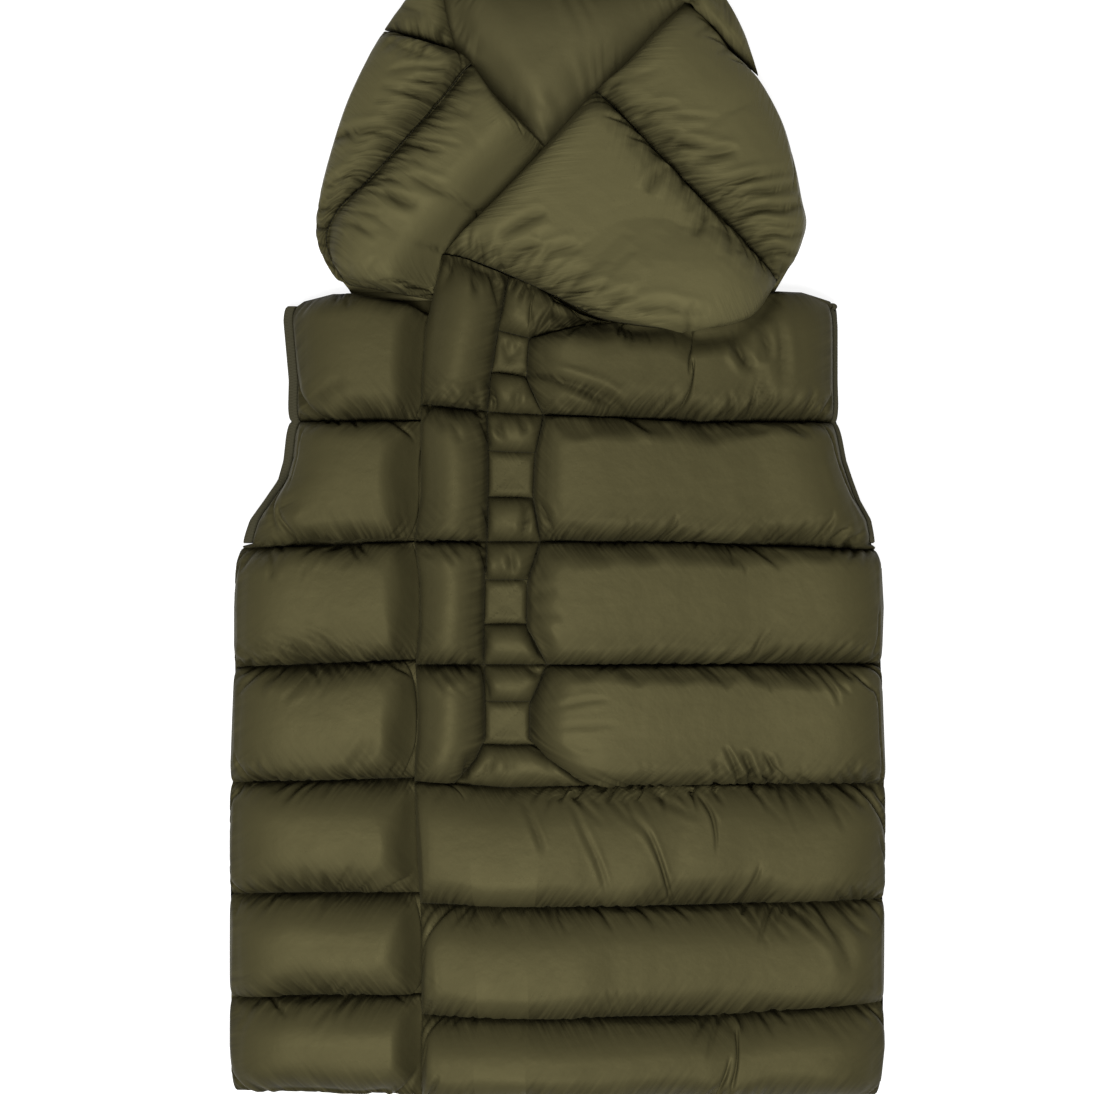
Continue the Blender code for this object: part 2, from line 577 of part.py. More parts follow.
def left_hood():
    """The baffles of the hood's left side, which lie over the throat."""
    lower = patch(OPENING_LEFT_LOWER, LEFT_HOOD_FOOT, LEFT_HOOD_NECK, LEFT_BAFFLE_SEAM, 18, 22)
    lower = drawn_in(lower, LAYER_GAP)
    rims = [(OPENING_LEFT_LOWER, 34, False), (LEFT_BAFFLE_SEAM, 46, True),
            (LEFT_HOOD_NECK, 40, True), (LEFT_HOOD_FOOT, 34, False)]
    loft = baffle_loft(lower, HOOD_LOFT, rims, LEFT_HOOD_LOWER_FOLDS)
    inside = hood_skirt(lower[..., 1])
    wall("hood_lower_left", lower, inside + STITCHED + loft, inside, HOOD)

    outer = LEFT_CROWN_SEAM[:-1] + HOOD_SIDE_LEFT
    upper = patch(LEFT_BAFFLE_SEAM, outer, OPENING_LEFT_UPPER,
                  [LEFT_BAFFLE_SEAM[-1], HOOD_SIDE_LEFT[-1]], 22, 13)
    upper = drawn_in(upper, LAYER_GAP)
    rims = [(LEFT_BAFFLE_SEAM, 44, True), (outer, 36, True), (OPENING_LEFT_UPPER, 32, False)]
    loft = baffle_loft(upper, HOOD_LOFT, rims, LEFT_HOOD_UPPER_FOLDS)
    share = np.linspace(0, 1, upper.shape[0])[:, None]
    inside = hood_skirt(upper[..., 1]) * (1 - share) + (HOOD_INSIDE + LAYER_GAP) * share
    wall("hood_upper_left", upper, inside + STITCHED + loft, inside, HOOD)


def hood_crown():
    """The top baffle, from one side of the face opening round to the other."""
    start = [OPENING_TOP[0], (-123, 968.5), CROWN_TOP[0]]
    end = [OPENING_TOP[-1], (146, 981), (162, 960), CROWN_TOP[-1]]
    plan = drawn_in(patch(OPENING_TOP, CROWN_TOP, start, end, 30, 9), LAYER_GAP)
    rims = [(OPENING_TOP, 26, False), (CROWN_TOP, 26, False), (RIGHT_CROWN_SEAM, 26, True),
            (LEFT_CROWN_SEAM, 26, True)]
    loft = baffle_loft(plan, CROWN_LOFT, rims, [])
    inside = HOOD_INSIDE + LAYER_GAP
    wall("hood_crown", plan, inside + STITCHED + loft, np.full(loft.shape, inside), HOOD)


def hood_back():
    """The back of the hood, flat where it lies, with its lining up."""
    heights = np.array([HOOD_BACK_SIDES[0].y, 746, 753, 765, 800, 850, 900, 950, 1000, 1040,
                        1060, 1072, 1080])
    rim = np.array([0, 2, 7, 16, 30])
    plan = []
    for y in heights:
        right, left = side_x(y, "right", HOOD_BACK_SIDES), side_x(y, "left", HOOD_BACK_SIDES)
        scale = min(1.0, (left - right) / 150)
        x = np.concatenate([right + rim * scale, [0.5 * (left + right)],
                            (left - rim * scale)[::-1]])
        plan.append(np.column_stack([x, np.full(len(x), y)]))
    plan = np.array(plan)
    x, y = plan[..., 0], plan[..., 1]
    ends = rise((x - x[:, :1]) / 30) * rise((x[:, -1:] - x) / 30)
    ends = ends * rise((y - heights[0] + 1) / 12) * rise((heights[-1] - y) / 26)
    under = (HOOD_INSIDE - STITCHED) * (1 - ends)
    wall("hood_back", plan, under, np.full(under.shape, HOOD_INSIDE), LINING)


for leftover in list(bpy.data.objects):
    bpy.data.objects.remove(leftover, do_unlink=True)
collection = bpy.data.collections.new("puffer_vest")
bpy.context.scene.collection.children.link(collection)

SHELL = material("shell_nylon", SHELL_COLOR, 0.55)
HOOD = material("hood_nylon", HOOD_COLOR, 0.55)
LINING = material("lining_nylon", LINING_COLOR, 0.6)
TAPE = material("binding_tape", TAPE_COLOR, 0.8)

back()
right_front()
left_front()
hood_back()
right_hood()
left_hood()
hood_crown()
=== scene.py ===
"""Hooded puffer vest, laid flat: its cloth, stitching, light and camera.

Each CAD node gets a finer piece in its place. A piece starts as a fine grid over the
same outline and seams, takes its heights from the node, and is then settled as thin
cloth over air: pinned along its seams, with surplus cloth gathered into them, so that
it creases as a down baffle does. Sizes are in millimetres unless a comment says
otherwise, with Y counted up from the hem, as in the CAD source. Right and left are
the wearer's, so the right front is at -X.
"""
from collections import namedtuple

import bmesh
import bpy
import numpy as np
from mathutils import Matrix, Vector
from mathutils.bvhtree import BVHTree


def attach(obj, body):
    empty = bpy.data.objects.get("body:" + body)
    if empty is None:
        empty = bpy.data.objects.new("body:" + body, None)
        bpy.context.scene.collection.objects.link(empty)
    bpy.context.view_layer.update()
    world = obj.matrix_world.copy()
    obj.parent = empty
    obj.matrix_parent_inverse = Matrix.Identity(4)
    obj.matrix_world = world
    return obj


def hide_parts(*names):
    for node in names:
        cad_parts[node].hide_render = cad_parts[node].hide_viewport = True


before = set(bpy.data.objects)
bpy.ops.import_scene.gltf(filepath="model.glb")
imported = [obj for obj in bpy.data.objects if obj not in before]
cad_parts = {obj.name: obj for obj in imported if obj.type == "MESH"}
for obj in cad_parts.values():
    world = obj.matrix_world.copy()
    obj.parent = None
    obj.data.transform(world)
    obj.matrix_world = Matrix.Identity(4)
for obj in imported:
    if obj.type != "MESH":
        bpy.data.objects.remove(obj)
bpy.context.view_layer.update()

MM = 0.001
FOOTPRINT_MIDDLE = np.array([-1.0, 543.5])
ALL = slice(None)

SEEDS = {"front_left": 11, "front_right": 12, "back_panel": 13, "hood_upper_right": 21,
         "hood_lower_right": 22, "hood_lower_left": 23, "hood_upper_left": 24,
         "hood_crown": 25, "hood_back": 26}

# The layers and the padding, as the CAD has them.
BACK_INSIDE = 22.0
LAYER_GAP = 0.3
OVERLAP_INSIDE = 36.6
HOOD_INSIDE = 30.0
STITCHED = 3.0
SEAM_NOTCH = 4.0
NOTCH_REACH = 40.0
NOTCH_HEIGHT = 12.0
COVER_MARGIN = 1.5
COVER_REACH = 46.0          # a covered layer comes free of the cover over this width ...
FRONT_FREED = 46.0          # ... and may rise so much there, or
HOOD_FREED = 50.0           # so much in the hood
BINDING_THICKNESS = 4.0
RIGHT_BINDING_WIDTH = 9.0
LEFT_BINDING_WIDTH = 5.0
UNDERARM_Y = 508.0

# The cloth's grid.
FRONT_CELL = 2.9            # down a front, and ...
FRONT_CELL_ACROSS = 1.65    # ... across it
BACK_CELL = 4.2
HOOD_CELL = 1.8
LINING_CELL = 3.2
HIDDEN_CELL = 7.0
INNER_STEP = 12             # the plain inside keeps every so many rows of the grid
FINER = 1.3                 # grid lines crowd by this much more at a seam ...
FINER_REACH = 5.0           # ... and for about this far from it
DENSITY_STEPS = 400
CURVE_STEPS = 12
GRID_ROUNDS = 6
ROWS_MEASURED_AT = (-100, 100)
FAR, TINY = 1e3, 1e-6

# How the filling stands before the cloth settles.
SPREAD = 1.5                # a filled cell is level this many times its reach from a seam
ROUNDNESS = 2.4
FULLNESS = 0.96             # its level middle, against its CAD crest
CREST_REACH = 14.0          # steps in a crest narrower than this are evened out
HOOD_TOP_REACH = 10         # grid steps
SIDE_PROUD = 3.0            # how far the fronts stand proud of their nodes at the sides,
SIDE_PROUD_FADE = 20.0
HEM_PROUD = 4.0             # and at the hem

# How the cloth settles. Slack is surplus length, as a share.
BASE_SLACK = 0.006
SEAM_SLACK = 0.05
CREASE_SLACK = 0.04
SLACK_REACH = 24.0
SLACK_POWER = 1.2
LEAN = 0.2
Stiffness = namedtuple("Stiffness", "stretch squeeze")
ALONG, SLANTED, BENT = Stiffness(1.0, 0.35), Stiffness(0.5, 0.25), Stiffness(0.0, 0.15)
STIFFNESS = {"x": ALONG, "y": ALONG, "d": SLANTED, "e": SLANTED, "bx": BENT, "by": BENT}
PUSH = 0.12                 # air pressure, as a move each step
GLIDE = 0.9
TREMBLE = 0.6
TREMBLE_ROUNDS = 3
MOST_MOVE = 8.0
MOVE_SHARE = 0.5            # of the distance to the nearest seam, and ...
LEAST_MOVE = 0.1            # ... this more
PROUD = 14.0                # how far cloth may stand out of its CAD node,
RELIEF = 1.5                # and out of the shape that its filling gives it
SETTLE_STEPS = 120
SETTLE_ROUNDS = 8

# Creases and gathers.
CREASE_DEPTH = 2.9          # how deep a crease of strength 1 starts
GATHER_DEPTH = 2.7
RIDGE = 0.4                 # the ridges beside a crease, against its depth ...
RIDGE_PLACE = 2.2           # ... and how many of its widths away they are
CREASE_SHARPNESS = 1.3
CREASE_TAPER = 0.7
CREASE_ENDS = 3.0           # how blunt a crease's ends are
CREASE_PAST = 3.0           # and how far they run on
CREASE_REACH = 4            # how many of its widths from a crease it is still felt
LEAST_DRAWN, MOST_DRAWN, DEEPEST = -1, 3, 2
UNEVEN_BOW = 0.08           # of a gather's length
UNEVEN_LEAN = 0.3
UNEVEN_LENGTHS = (0.45, 1.6)
UNEVEN_PULLS = (0.4, 1.6)
GATHER_WIDTHS = (1.4, 2.8)
UNEVEN_FAN_BOW = 0.07
UNEVEN_FAN_ANGLE = 9        # degrees
UNEVEN_FAN_LENGTHS = (0.4, 1.6)
FAN_PLACES = 3              # places to pick from, for each gather

# The face lining, and the slot that draws the hood's back in under its foot.
LINING_SWELL = 15.0
LINING_SWELL_REACH = 50.0
LINING_RISE = 1.5           # how far the lining may rise, against its swell
LINING_SLACK = 0.005
SLOT_TOP = 748.0
SLOT_DEPTH = 8.0

# Painted shade: how much the cloth's colour is darkened beside a seam and in a fold.
PAINTED_SHADE_STRENGTH = 0.74
PAINTED_SHADE_REACH = 9.5         # how far from a seam it reaches, ...
ABOVE_SEAM = 1.7            # times that above the seam,
BELOW_SEAM = 0.9            # and below it
HOOD_PAINTED_SHADE_REACH = 13.0
FOLD_SHADE = 0.5            # how dark a fold's painted shade is, against that, ...
DEEPEST_FOLD = 1.5          # ... and the deepest that counts
SLANT = 0.7                 # how much the body's puckers lean
PUCKER_LENGTH = 40.0
PUCKER_DEPTH = 2.8

STITCH_PITCH = 2.7
STITCH_LENGTH = 2.2
STITCH_RADIUS = 0.42
STITCH_SIDES = 5
STITCH_PROFILE = [(-0.5, 0), (-0.32, 0.8), (0.32, 0.8), (0.5, 0)]   # of length and radius
ZIGZAG = 1.0
LIFT_OUT = np.array([0, 0, 0.4])   # zigzag stitches span the join that they hold
TAPE_START = 1.0                   # above the underarm
TAPE_STEP = 0.55
TAPE_PROFILE = [(0, 0.6), (0.12, 0.95), (0.45, 1), (0.5, 0.86), (0.55, 1), (0.9, 0.75),
                (1, 0.35)]         # across the tape: share of its width, and of its height
TAPE_COLUMNS = 13
TAPE_INNER_STEP = 8
RIB_PITCH = 2.8
RIB_DEPTH = 0.5

# The photograph's frame, at the cloth's middle height, and the studio (metres).
FRAME_WIDTH = 1.0065
FRAME_MIDDLE = (-0.0100, -0.0375)
FRAME_HEIGHT = 0.037
LENS, SENSOR = 85.0, 36.0          # millimetres
WORLD_LIGHT = 0.38
FLOOR_SIZE = 8
FLOOR_GAP = 0.0004                 # the flat underside doesn't lie in the floor's plane
PAPER_GLOW = 0.85
LIT_POINT = Vector((0, 0, 0.05))
Lamp = namedtuple("Lamp", "name place size power")
LAMPS = [Lamp("key", (-0.12, -0.8, 2.35), 1.0, 88.0), Lamp("side", (-1.8, 0.0, 1.6), 1.4, 3.0)]


def table(kind, *rows):
    """The rows of a table, whose columns kind names."""
    return [kind(*row) for row in rows]


# ---------------- outlines and seams

Side = namedtuple("Side", "y right left")
SIDES = table(
    Side, (0, -298, 293), (46, -301, 298), (91, -301, 297), (186, -301, 298), (289, -301, 299),
    (395, -297, 295), (450, -297, 297), (505, -295, 294), (531, -286, 289), (549, -273, 279),
    (568, -260, 272), (586, -255, 266), (623, -251, 259), (660, -250, 258), (715, -255, 258),
    (745, -255, 258))

LeftSeam = namedtuple("LeftSeam", "edge placket middle side")
LEFT_SEAM_X = LeftSeam(-127, -50, 130, 298)
LEFT_SEAMS = table(
    LeftSeam, (637, 629, 621, 621), (511, 511, 510, 503), (398, 398, 398, 398),
    (291, 285, 288, 288), (179, 176, 176, 181), (77, 74, 74, 86), (2, 0, 0, 4))

RightSeam = namedtuple("RightSeam", "side edge")
RIGHT_SEAM_X = RightSeam(-300, -127)
RIGHT_SEAMS = table(
    RightSeam, (622, 622), (505, 511), (395, 402), (289, 293), (186, 188), (91, 94), (8, 5))
BACK_SEAMS = [622, 505, 396, 288, 184, 90, 5]

RIGHT_FRONT_TOP = [
    (-253, 724), (-239, 733), (-209, 740), (-190, 740), (-165, 735), (-140, 730), (-109, 717),
    (-54, 696), (1, 685)]
LEFT_FRONT_TOP = [
    (-108, 774), (-86, 769), (-66, 761), (-49, 755), (-27, 747), (-6, 735), (19, 720), (38, 714),
    (75, 717), (121, 727), (167, 738), (201, 742), (223, 741), (257, 730)]
COLLAR_FOOT = [
    (-127, 706), (-57, 705.5), (-27, 698), (0, 703), (24, 711), (38, 708), (75, 711), (121, 721),
    (167, 732), (201, 736), (223, 735), (257, 724)]
COLLAR_END_X = 24.0
COLLAR_FADE = 48.0
BACK_TOP = [
    (-253, 724), (-239, 733), (-209, 740), (-190, 741), (190, 741), (209, 741), (223, 741),
    (257, 730)]
RIGHT_FRONT_END_X = -10.0

Placket = namedtuple("Placket", "y edge first second")
PLACKET = table(
    Placket, (0, -126, -72, -27), (150, -126, -72, -27), (276, -132, -80, -12),
    (289, -133, -96, 23), (312, -132, -76, -9), (330, -130, -68, -27), (362, -129, -68, -27),
    (398, -132, -69, -11), (433, -128, -69, -30), (475, -128, -68, -29), (511, -133, -66, -17),
    (552, -127, -65, -24), (592, -127, -65, -22), (626, -127, -66, -14), (660, -126, -63, -30),
    (705, -123, -56, -27), (760, -110, -45, -22), (790, -106, -40, -20))
Square = namedtuple("Square", "top bottom")
SQUARES = table(Square, (0, 0.518), (0.3, 0.655), (0.31, 0.67), (0.3, 0.655))

HOOD_SIDE_RIGHT = [
    (-161, 981), (-176, 954), (-194, 917), (-207, 880), (-217, 844), (-223, 812), (-223, 790),
    (-215, 768), (-203, 753)]
HOOD_SIDE_LEFT = [
    (182, 937), (204, 899), (216, 862), (224, 825), (228, 803), (221, 779), (212, 763)]
RIGHT_BAFFLE_SEAM = [
    (-80, 950), (-108, 914), (-150, 868), (-177, 838), (-201, 815), (-212, 794), (-211, 776),
    (-203, 759), (-193, 747)]
LEFT_BAFFLE_SEAM = [(33, 924), (81, 874), (121, 832), (160, 794), (178, 774), (200, 749)]
RIGHT_CROWN_SEAM = [(-80, 950), (-94, 959), (-123, 967), (-161, 981)]
LEFT_CROWN_SEAM = [(117, 1009), (144, 979), (160, 958), (182, 937)]
OPENING_RIGHT = [(-80, 950), (-59, 920), (-29, 891), (-14.5, 875.5)]
OPENING_LEFT_LOWER = [(-107, 775), (-60, 824), (-13, 874), (33, 924)]
OPENING_LEFT_UPPER = [(33, 924), (61, 948), (88, 980), (117, 1009)]
OPENING_TOP = [
    (-94, 960.5), (-101, 986), (-107, 1009), (-97, 1024), (-60, 1034), (1, 1037), (60, 1034),
    (98, 1024), (118, 1011)]
CROWN_TOP = [
    (-161, 982.5), (-141, 1009), (-113, 1039), (-63, 1070), (1, 1087), (65, 1078), (119, 1048),
    (153, 1009), (171, 976), (184, 940)]
RIGHT_HOOD_FOOT = [(-193, 747), (-168, 743), (-142, 738), (-119, 734)]
RIGHT_HOOD_COVER = [(-14.5, 875.5), (-61.5, 825.5), (-109.5, 776), (-119, 734)]
RIGHT_HOOD_END = [(38, 825), (20, 790), (0, 755), (-17, 738)]
LEFT_HOOD_NECK = [(-107, 775), (-86, 770), (-49, 756), (-6, 736), (38, 714), (93, 705), (112, 705)]
LEFT_HOOD_FOOT = [(112, 705), (140, 706), (164, 711), (182, 722), (200, 749)]
HOOD_BACK_SIDES = table(
    Side, (734, -190, 196), (742.6, -193, 200), (765, -211, 213), (800, -222, 226),
    (850, -214, 217), (900, -199, 203), (950, -176, 175), (1000, -145, 156), (1040, -108, 125),
    (1065, -70, 89), (1080, -30, 58))
HOOD_OVER_FRONT = LEFT_HOOD_NECK[3:] + LEFT_HOOD_FOOT[1:]
CROWN_START = [OPENING_TOP[0], (-123, 968.5), CROWN_TOP[0]]
CROWN_END = [OPENING_TOP[-1], (146, 981), (162, 960), CROWN_TOP[-1]]

# ---------------- creases

# A crease: a line along which the padding is drawn in, from one end to the other,
# bowed sideways, with how strongly it is drawn in and how wide it is.
Crease = namedtuple("Crease", "x0 y0 x1 y1 bow pull width")

# Gathers beside a body seam: row, side of the row, from x to x, how they lean
# (dx over dy), how long they are, how many, and how deep.
Run = namedtuple("Run", "row side x0 x1 lean length count pull")

# Gathers that leave a curved seam at an angle (degrees from +X).
Fan = namedtuple("Fan", "line angle length count widths pulls",
                 defaults=[(1.6, 3.2), (0.4, 1.6)])

# Small puckers beside a seam: how far they reach, their width, how much they lean, how
# deep they are beside seams that run down and in all, and how far the painted shade
# beside a seam reaches.
Pucker = namedtuple("Pucker", "reach width lean down depth bunched",
                    defaults=[1.0, PAINTED_SHADE_REACH])
BODY_PUCKER = Pucker(9.0, 4.6, 0.0, 0.3)
HOOD_PUCKER = Pucker(16.0, 5.0, 0.0, 1.0, 1.7, HOOD_PAINTED_SHADE_REACH)

LEFT_FRONT_CREASES = table(
    Crease, (-98, 775, -97, 753, 0, 2, 2.5), (-88, 773, -86, 751, 0, 1.8, 2.5),
    (-80, 772, -77, 738, 0.9, 2.6, 2.8), (-70, 768, -57, 742, 0.9, 2.6, 2.8),
    (-27, 742, -26, 731, 0, 1, 2.5), (0, 730, -21, 702, -1.8, 1.5, 3),
    (-50, 696, -46, 677, 0, 0.8, 2.8), (-36, 692, -47, 676, 0, 0.6, 2.8),
    (-66, 656, -56, 632, 0.9, 2.6, 3.5), (-34, 654, -38, 628, -3.7, 1.6, 2.8),
    (-44, 668, 88, 606, 8, 3.8, 3.4), (-25, 654, 30, 630, 2.8, 1.6, 3),
    (-103, 656, -93, 641, 0.9, 1.4, 3), (-76, 660, -84, 639, 1.8, 1.2, 4),
    (-66, 638, -76, 647, 0, 1.5, 4), (-75, 624, -64, 597, 1.8, 2, 3),
    (-56, 630, -53, 603, 0, 1.8, 2.8), (-37, 628, -30, 612, -0.9, 1.6, 2.8),
    (-67, 545, -66, 516, 0, 1.8, 3), (-29, 546, -35, 512, 0.9, 2.2, 2.8),
    (-18, 549, -5, 521, 2.8, 2, 3), (-75, 506, -67, 474, 2.8, 2.2, 3),
    (-45, 504, -40, 481, -0.9, 1.8, 3), (-23, 494, -29, 466, -2.8, 1.2, 4),
    (-25, 459, 1, 468, 1.8, 0.8, 3.5), (-25, 446, 6, 446, 1.8, 0.7, 3.5),
    (-25, 433, -3, 420, 1.8, 1, 4), (-34, 431, -17, 402, 2.8, 1.6, 3.5),
    (-67, 431, -69, 406, 0.9, 1.4, 3), (-75, 395, -65, 365, 3.7, 2, 3),
    (-32, 396, -13, 387, 0, 2, 3), (-23, 354, 38, 365, 1.8, 0.35, 2.6),
    (-23, 341, 47, 341, 0, 0.3, 2.6), (-23, 327, 34, 310, -1.8, 0.4, 2.6),
    (-43, 321, -47, 295, 0, 1, 4), (-56, 317, -69, 292, -0.9, 1.2, 3.5),
    (-27, 321, -3, 295, 1.8, 1.2, 3.5), (-17, 317, 23, 288, 2.8, 2.2, 3),
    (-73, 325, -89, 290, -2.8, 2, 3.5), (-102, 625, -89, 604, 1.8, 1.2, 3),
    (-115, 632, -104, 617, 0.9, 1.2, 3), (-109, 505, -95, 489, 1.8, 1.2, 3),
    (-124, 501, -109, 494, 0.9, 1.2, 3), (-119, 393, -104, 374, 1.8, 1.3, 3),
    (160, 706, 176, 664, -4, 2, 4), (180, 712, 190, 672, 3, 1.6, 4), (196, 716, 200, 650, 3, 1, 5),
    (238, 172, 262, 120, 4, 0.9, 6), (8, 276, 40, 194, 3, 0.8, 2.2),
    (60, 266, 84, 234, 2, 0.7, 2.2), (74, 250, 98, 190, 3, 0.8, 2.2),
    (-40, 284, -14, 230, 3, 0.9, 2.4), (118, 282, 146, 246, 2, 1, 2.2),
    (246, 600, 268, 548, -4, 1.1, 6))
LEFT_FRONT_RUNS = table(
    Run, (0, "top", -120, -20, -0.15, 15, 18, 1.6), (1, "low", 75, 150, 1.2, 14, 19, 1.2),
    (1, "low", 140, 175, 0.5, 25, 8, 1.8), (1, "low", 215, 240, 0.5, 21, 7, 1.7),
    (1, "low", -120, -60, 0.2, 12, 15, 1.4), (2, "top", -118, -75, -0.6, 12, 11, 1),
    (2, "top", 0, 240, -0.5, 10, 10, 0.4), (2, "low", -120, -70, 0.4, 9, 14, 1.2),
    (2, "low", 40, 260, 0.7, 15, 39, 1), (2, "low", 255, 285, -1.2, 16, 7, 1.5),
    (3, "top", -120, -75, -0.9, 14, 10, 0.9), (3, "top", 10, 120, -0.8, 9, 10, 0.4),
    (3, "low", -120, -70, 0.3, 9, 11, 1), (3, "low", 90, 280, 0.8, 13, 30, 1),
    (3, "low", 165, 180, 0.2, 21, 4, 1.5), (4, "top", -118, -70, -0.9, 18, 10, 0.9),
    (4, "top", 40, 200, -0.5, 8, 10, 0.4), (4, "top", 205, 285, -0.8, 24, 11, 1),
    (4, "low", 60, 290, 0.5, 15, 35, 1.2), (4, "low", 140, 200, -0.5, 25, 8, 1.8),
    (5, "top", -110, 0, 0.5, 22, 8, 0.8), (5, "top", 0, 290, -0.75, 26, 27, 1.1),
    (5, "top", 270, 295, -1.2, 14, 5, 1), (5, "low", -90, 290, -0.5, 12, 32, 0.6),
    (5, "low", 255, 290, 1, 20, 6, 1.1), (6, "top", -100, 290, -0.7, 16, 35, 1),
    (6, "top", 160, 290, -1, 28, 11, 1.2), (6, "low", -60, 120, -0.5, 9, 13, 0.6),
    (6, "low", 120, 260, 0.6, 9, 13, 0.6), (6, "low", 255, 290, 0.9, 18, 6, 1),
    (7, "top", -90, 120, -0.6, 12, 18, 0.9), (7, "top", 130, 280, -1, 18, 14, 0.9),
    (7, "low", -120, 290, 0.3, 8, 19, 0.5))
RIGHT_FRONT_CREASES = table(
    Crease, (-286, 516, -240, 566, 4, 1.2, 5), (-276, 508, -232, 548, 3, 1.1, 5),
    (-282, 545, -246, 590, 3, 0.9, 5), (-205, 290, -170, 330, -3, 0.9, 5),
    (-240, 620, -196, 660, 3, 1, 5), (-136, 728, -118, 712, 2, 1.8, 4),
    (-128, 738, -122, 716, 1, 1.6, 4))
RIGHT_FRONT_RUNS = table(
    Run, (0, "low", -240, -140, 0.3, 9, 14, 0.6), (1, "top", -242, -170, 0.7, 12, 18, 1),
    (1, "low", -270, -130, -0.6, 12, 14, 0.6), (2, "top", -280, -180, 0.6, 22, 18, 1),
    (2, "low", -280, -150, -1.4, 18, 26, 1.7), (3, "top", -260, -190, 0.7, 20, 10, 1.1),
    (3, "top", -190, -140, 0.1, 14, 5, 0.6), (3, "low", -290, -150, -0.8, 14, 18, 1),
    (4, "top", -290, -190, 0.8, 16, 14, 1), (4, "top", -190, -140, 0.3, 10, 6, 0.6),
    (4, "low", -285, -200, -0.8, 15, 14, 1.4), (5, "top", -290, -215, 0.9, 16, 11, 0.9),
    (5, "top", -215, -140, 0.2, 9, 8, 0.5), (5, "low", -290, -140, -0.8, 10, 13, 0.6),
    (6, "top", -280, -170, 0.8, 18, 22, 1), (6, "low", -290, -140, -0.4, 8, 10, 0.4))
LEFT_HOOD_LOWER_CREASES = table(
    Crease, (-54, 780, -12, 805, 3.7, 1.8, 4), (-47, 760, -16, 778, 3.7, 2.4, 3.5),
    (-60, 765, -49, 772, 0.9, 1.9, 3), (-25, 765, 17, 779, 1.8, 1.2, 4),
    (-82, 768, -75, 790, 0.9, 1.1, 3.5), (-69, 765, -62, 785, 0.9, 0.9, 4),
    (1, 733, 49, 742, 2.8, 1.5, 3.5), (12, 726, 75, 735, 2.8, 1.5, 4),
    (29, 719, 108, 728, 2.8, 1.2, 4), (-10, 746, 29, 755, 2.8, 1, 4),
    (-27, 752, 6, 763, 1.8, 0.9, 4), (97, 849, 81, 819, -2.8, 2, 4),
    (132, 822, 121, 779, 0, 2.2, 3.5), (135, 818, 150, 765, 3.7, 2.2, 3.5),
    (150, 800, 166, 755, 2.8, 1.7, 3.5), (165, 785, 174, 752, 1.8, 1.2, 3.5),
    (30, 921, 32, 905, 0, 1.6, 3), (117, 825, 113, 803, 1.8, 1, 4),
    (54, 891, 49, 879, 0.9, 1.2, 3.5), (69, 879, 63, 862, 1.8, 1, 4),
    (95, 728, 133, 720, -1.8, 0.9, 4))
LEFT_HOOD_UPPER_CREASES = table(
    Crease, (36, 919, 56, 925, 0, 1.3, 3), (50, 897, 86, 903, 0.9, 1.2, 3),
    (60, 891, 105, 900, 0.9, 1.4, 3), (82, 864, 121, 869, 0.9, 1.1, 3.5),
    (97, 855, 157, 861, -1.8, 1.7, 3.5), (108, 841, 181, 834, -1.8, 1.3, 4),
    (130, 818, 213, 830, -4.6, 2.2, 4), (143, 810, 224, 815, -4.6, 2.4, 3.5),
    (121, 832, 168, 825, -1.8, 1.2, 4), (150, 802, 194, 801, 2.8, 1, 4),
    (165, 786, 205, 793, -2.8, 1, 4), (176, 776, 194, 755, 2.8, 2.4, 3.5),
    (192, 754, 222, 774, -2.8, 2, 3.5), (178, 768, 181, 742, -2.8, 1.8, 3),
    (75, 878, 100, 881, 0, 0.9, 3), (93, 847, 130, 847, 1.8, 0.9, 3))
RIGHT_HOOD_UPPER_CREASES = table(
    Crease, (-97, 926, -130, 930, 1.8, 1.5, 3.5), (-109, 915, -135, 914, 0, 1, 3),
    (-115, 906, -161, 905, 0.9, 1.1, 3.5), (-122, 898, -157, 896, 0.9, 1.1, 3),
    (-132, 889, -150, 889, 0, 1, 3), (-139, 882, -207, 873, -1.8, 2.4, 3.5),
    (-150, 876, -190, 870, 0.9, 1.2, 3), (-159, 864, -183, 863, 0.9, 1, 3),
    (-165, 855, -194, 847, -1.8, 1.2, 3.5), (-174, 842, -216, 829, -4.6, 2.4, 3.5),
    (-178, 834, -218, 820, -4.6, 2, 3.5), (-190, 829, -218, 809, -4.6, 1.2, 3.5),
    (-160, 966, -104, 946, -6, 1.2, 5))
RIGHT_HOOD_LOWER_CREASES = table(
    Crease, (-143, 842, -73, 825, -3.7, 1.9, 3.5), (-167, 828, -132, 819, -2.8, 2, 3.5),
    (-148, 869, -111, 861, -1.8, 1, 4), (-104, 928, -80, 925, 0, 1.1, 3),
    (-98, 921, -71, 917, 0, 0.9, 3), (-117, 900, -84, 897, 0.9, 1, 4),
    (-97, 818, -67, 819, 0.9, 0.9, 4), (-139, 789, -103, 783, 0.9, 1, 4),
    (-161, 756, -115, 748, -1.8, 2.2, 3.5), (-192, 755, -167, 747, -1.8, 1.6, 3),
    (-148, 855, -126, 851, 0, 0.8, 4))
WIDE = (2.4, 4.4)
DEEP = (0.9, 2.3)
RIGHT_HOOD_UPPER_FANS = table(
    Fan, (RIGHT_BAFFLE_SEAM, 183, 40, 14, WIDE, DEEP), (RIGHT_BAFFLE_SEAM, 180, 24, 16),
    (RIGHT_CROWN_SEAM, 240, 24, 10))
RIGHT_HOOD_LOWER_FANS = table(
    Fan, (RIGHT_BAFFLE_SEAM[:6], -8, 32, 22), (RIGHT_HOOD_FOOT, 80, 20, 8))
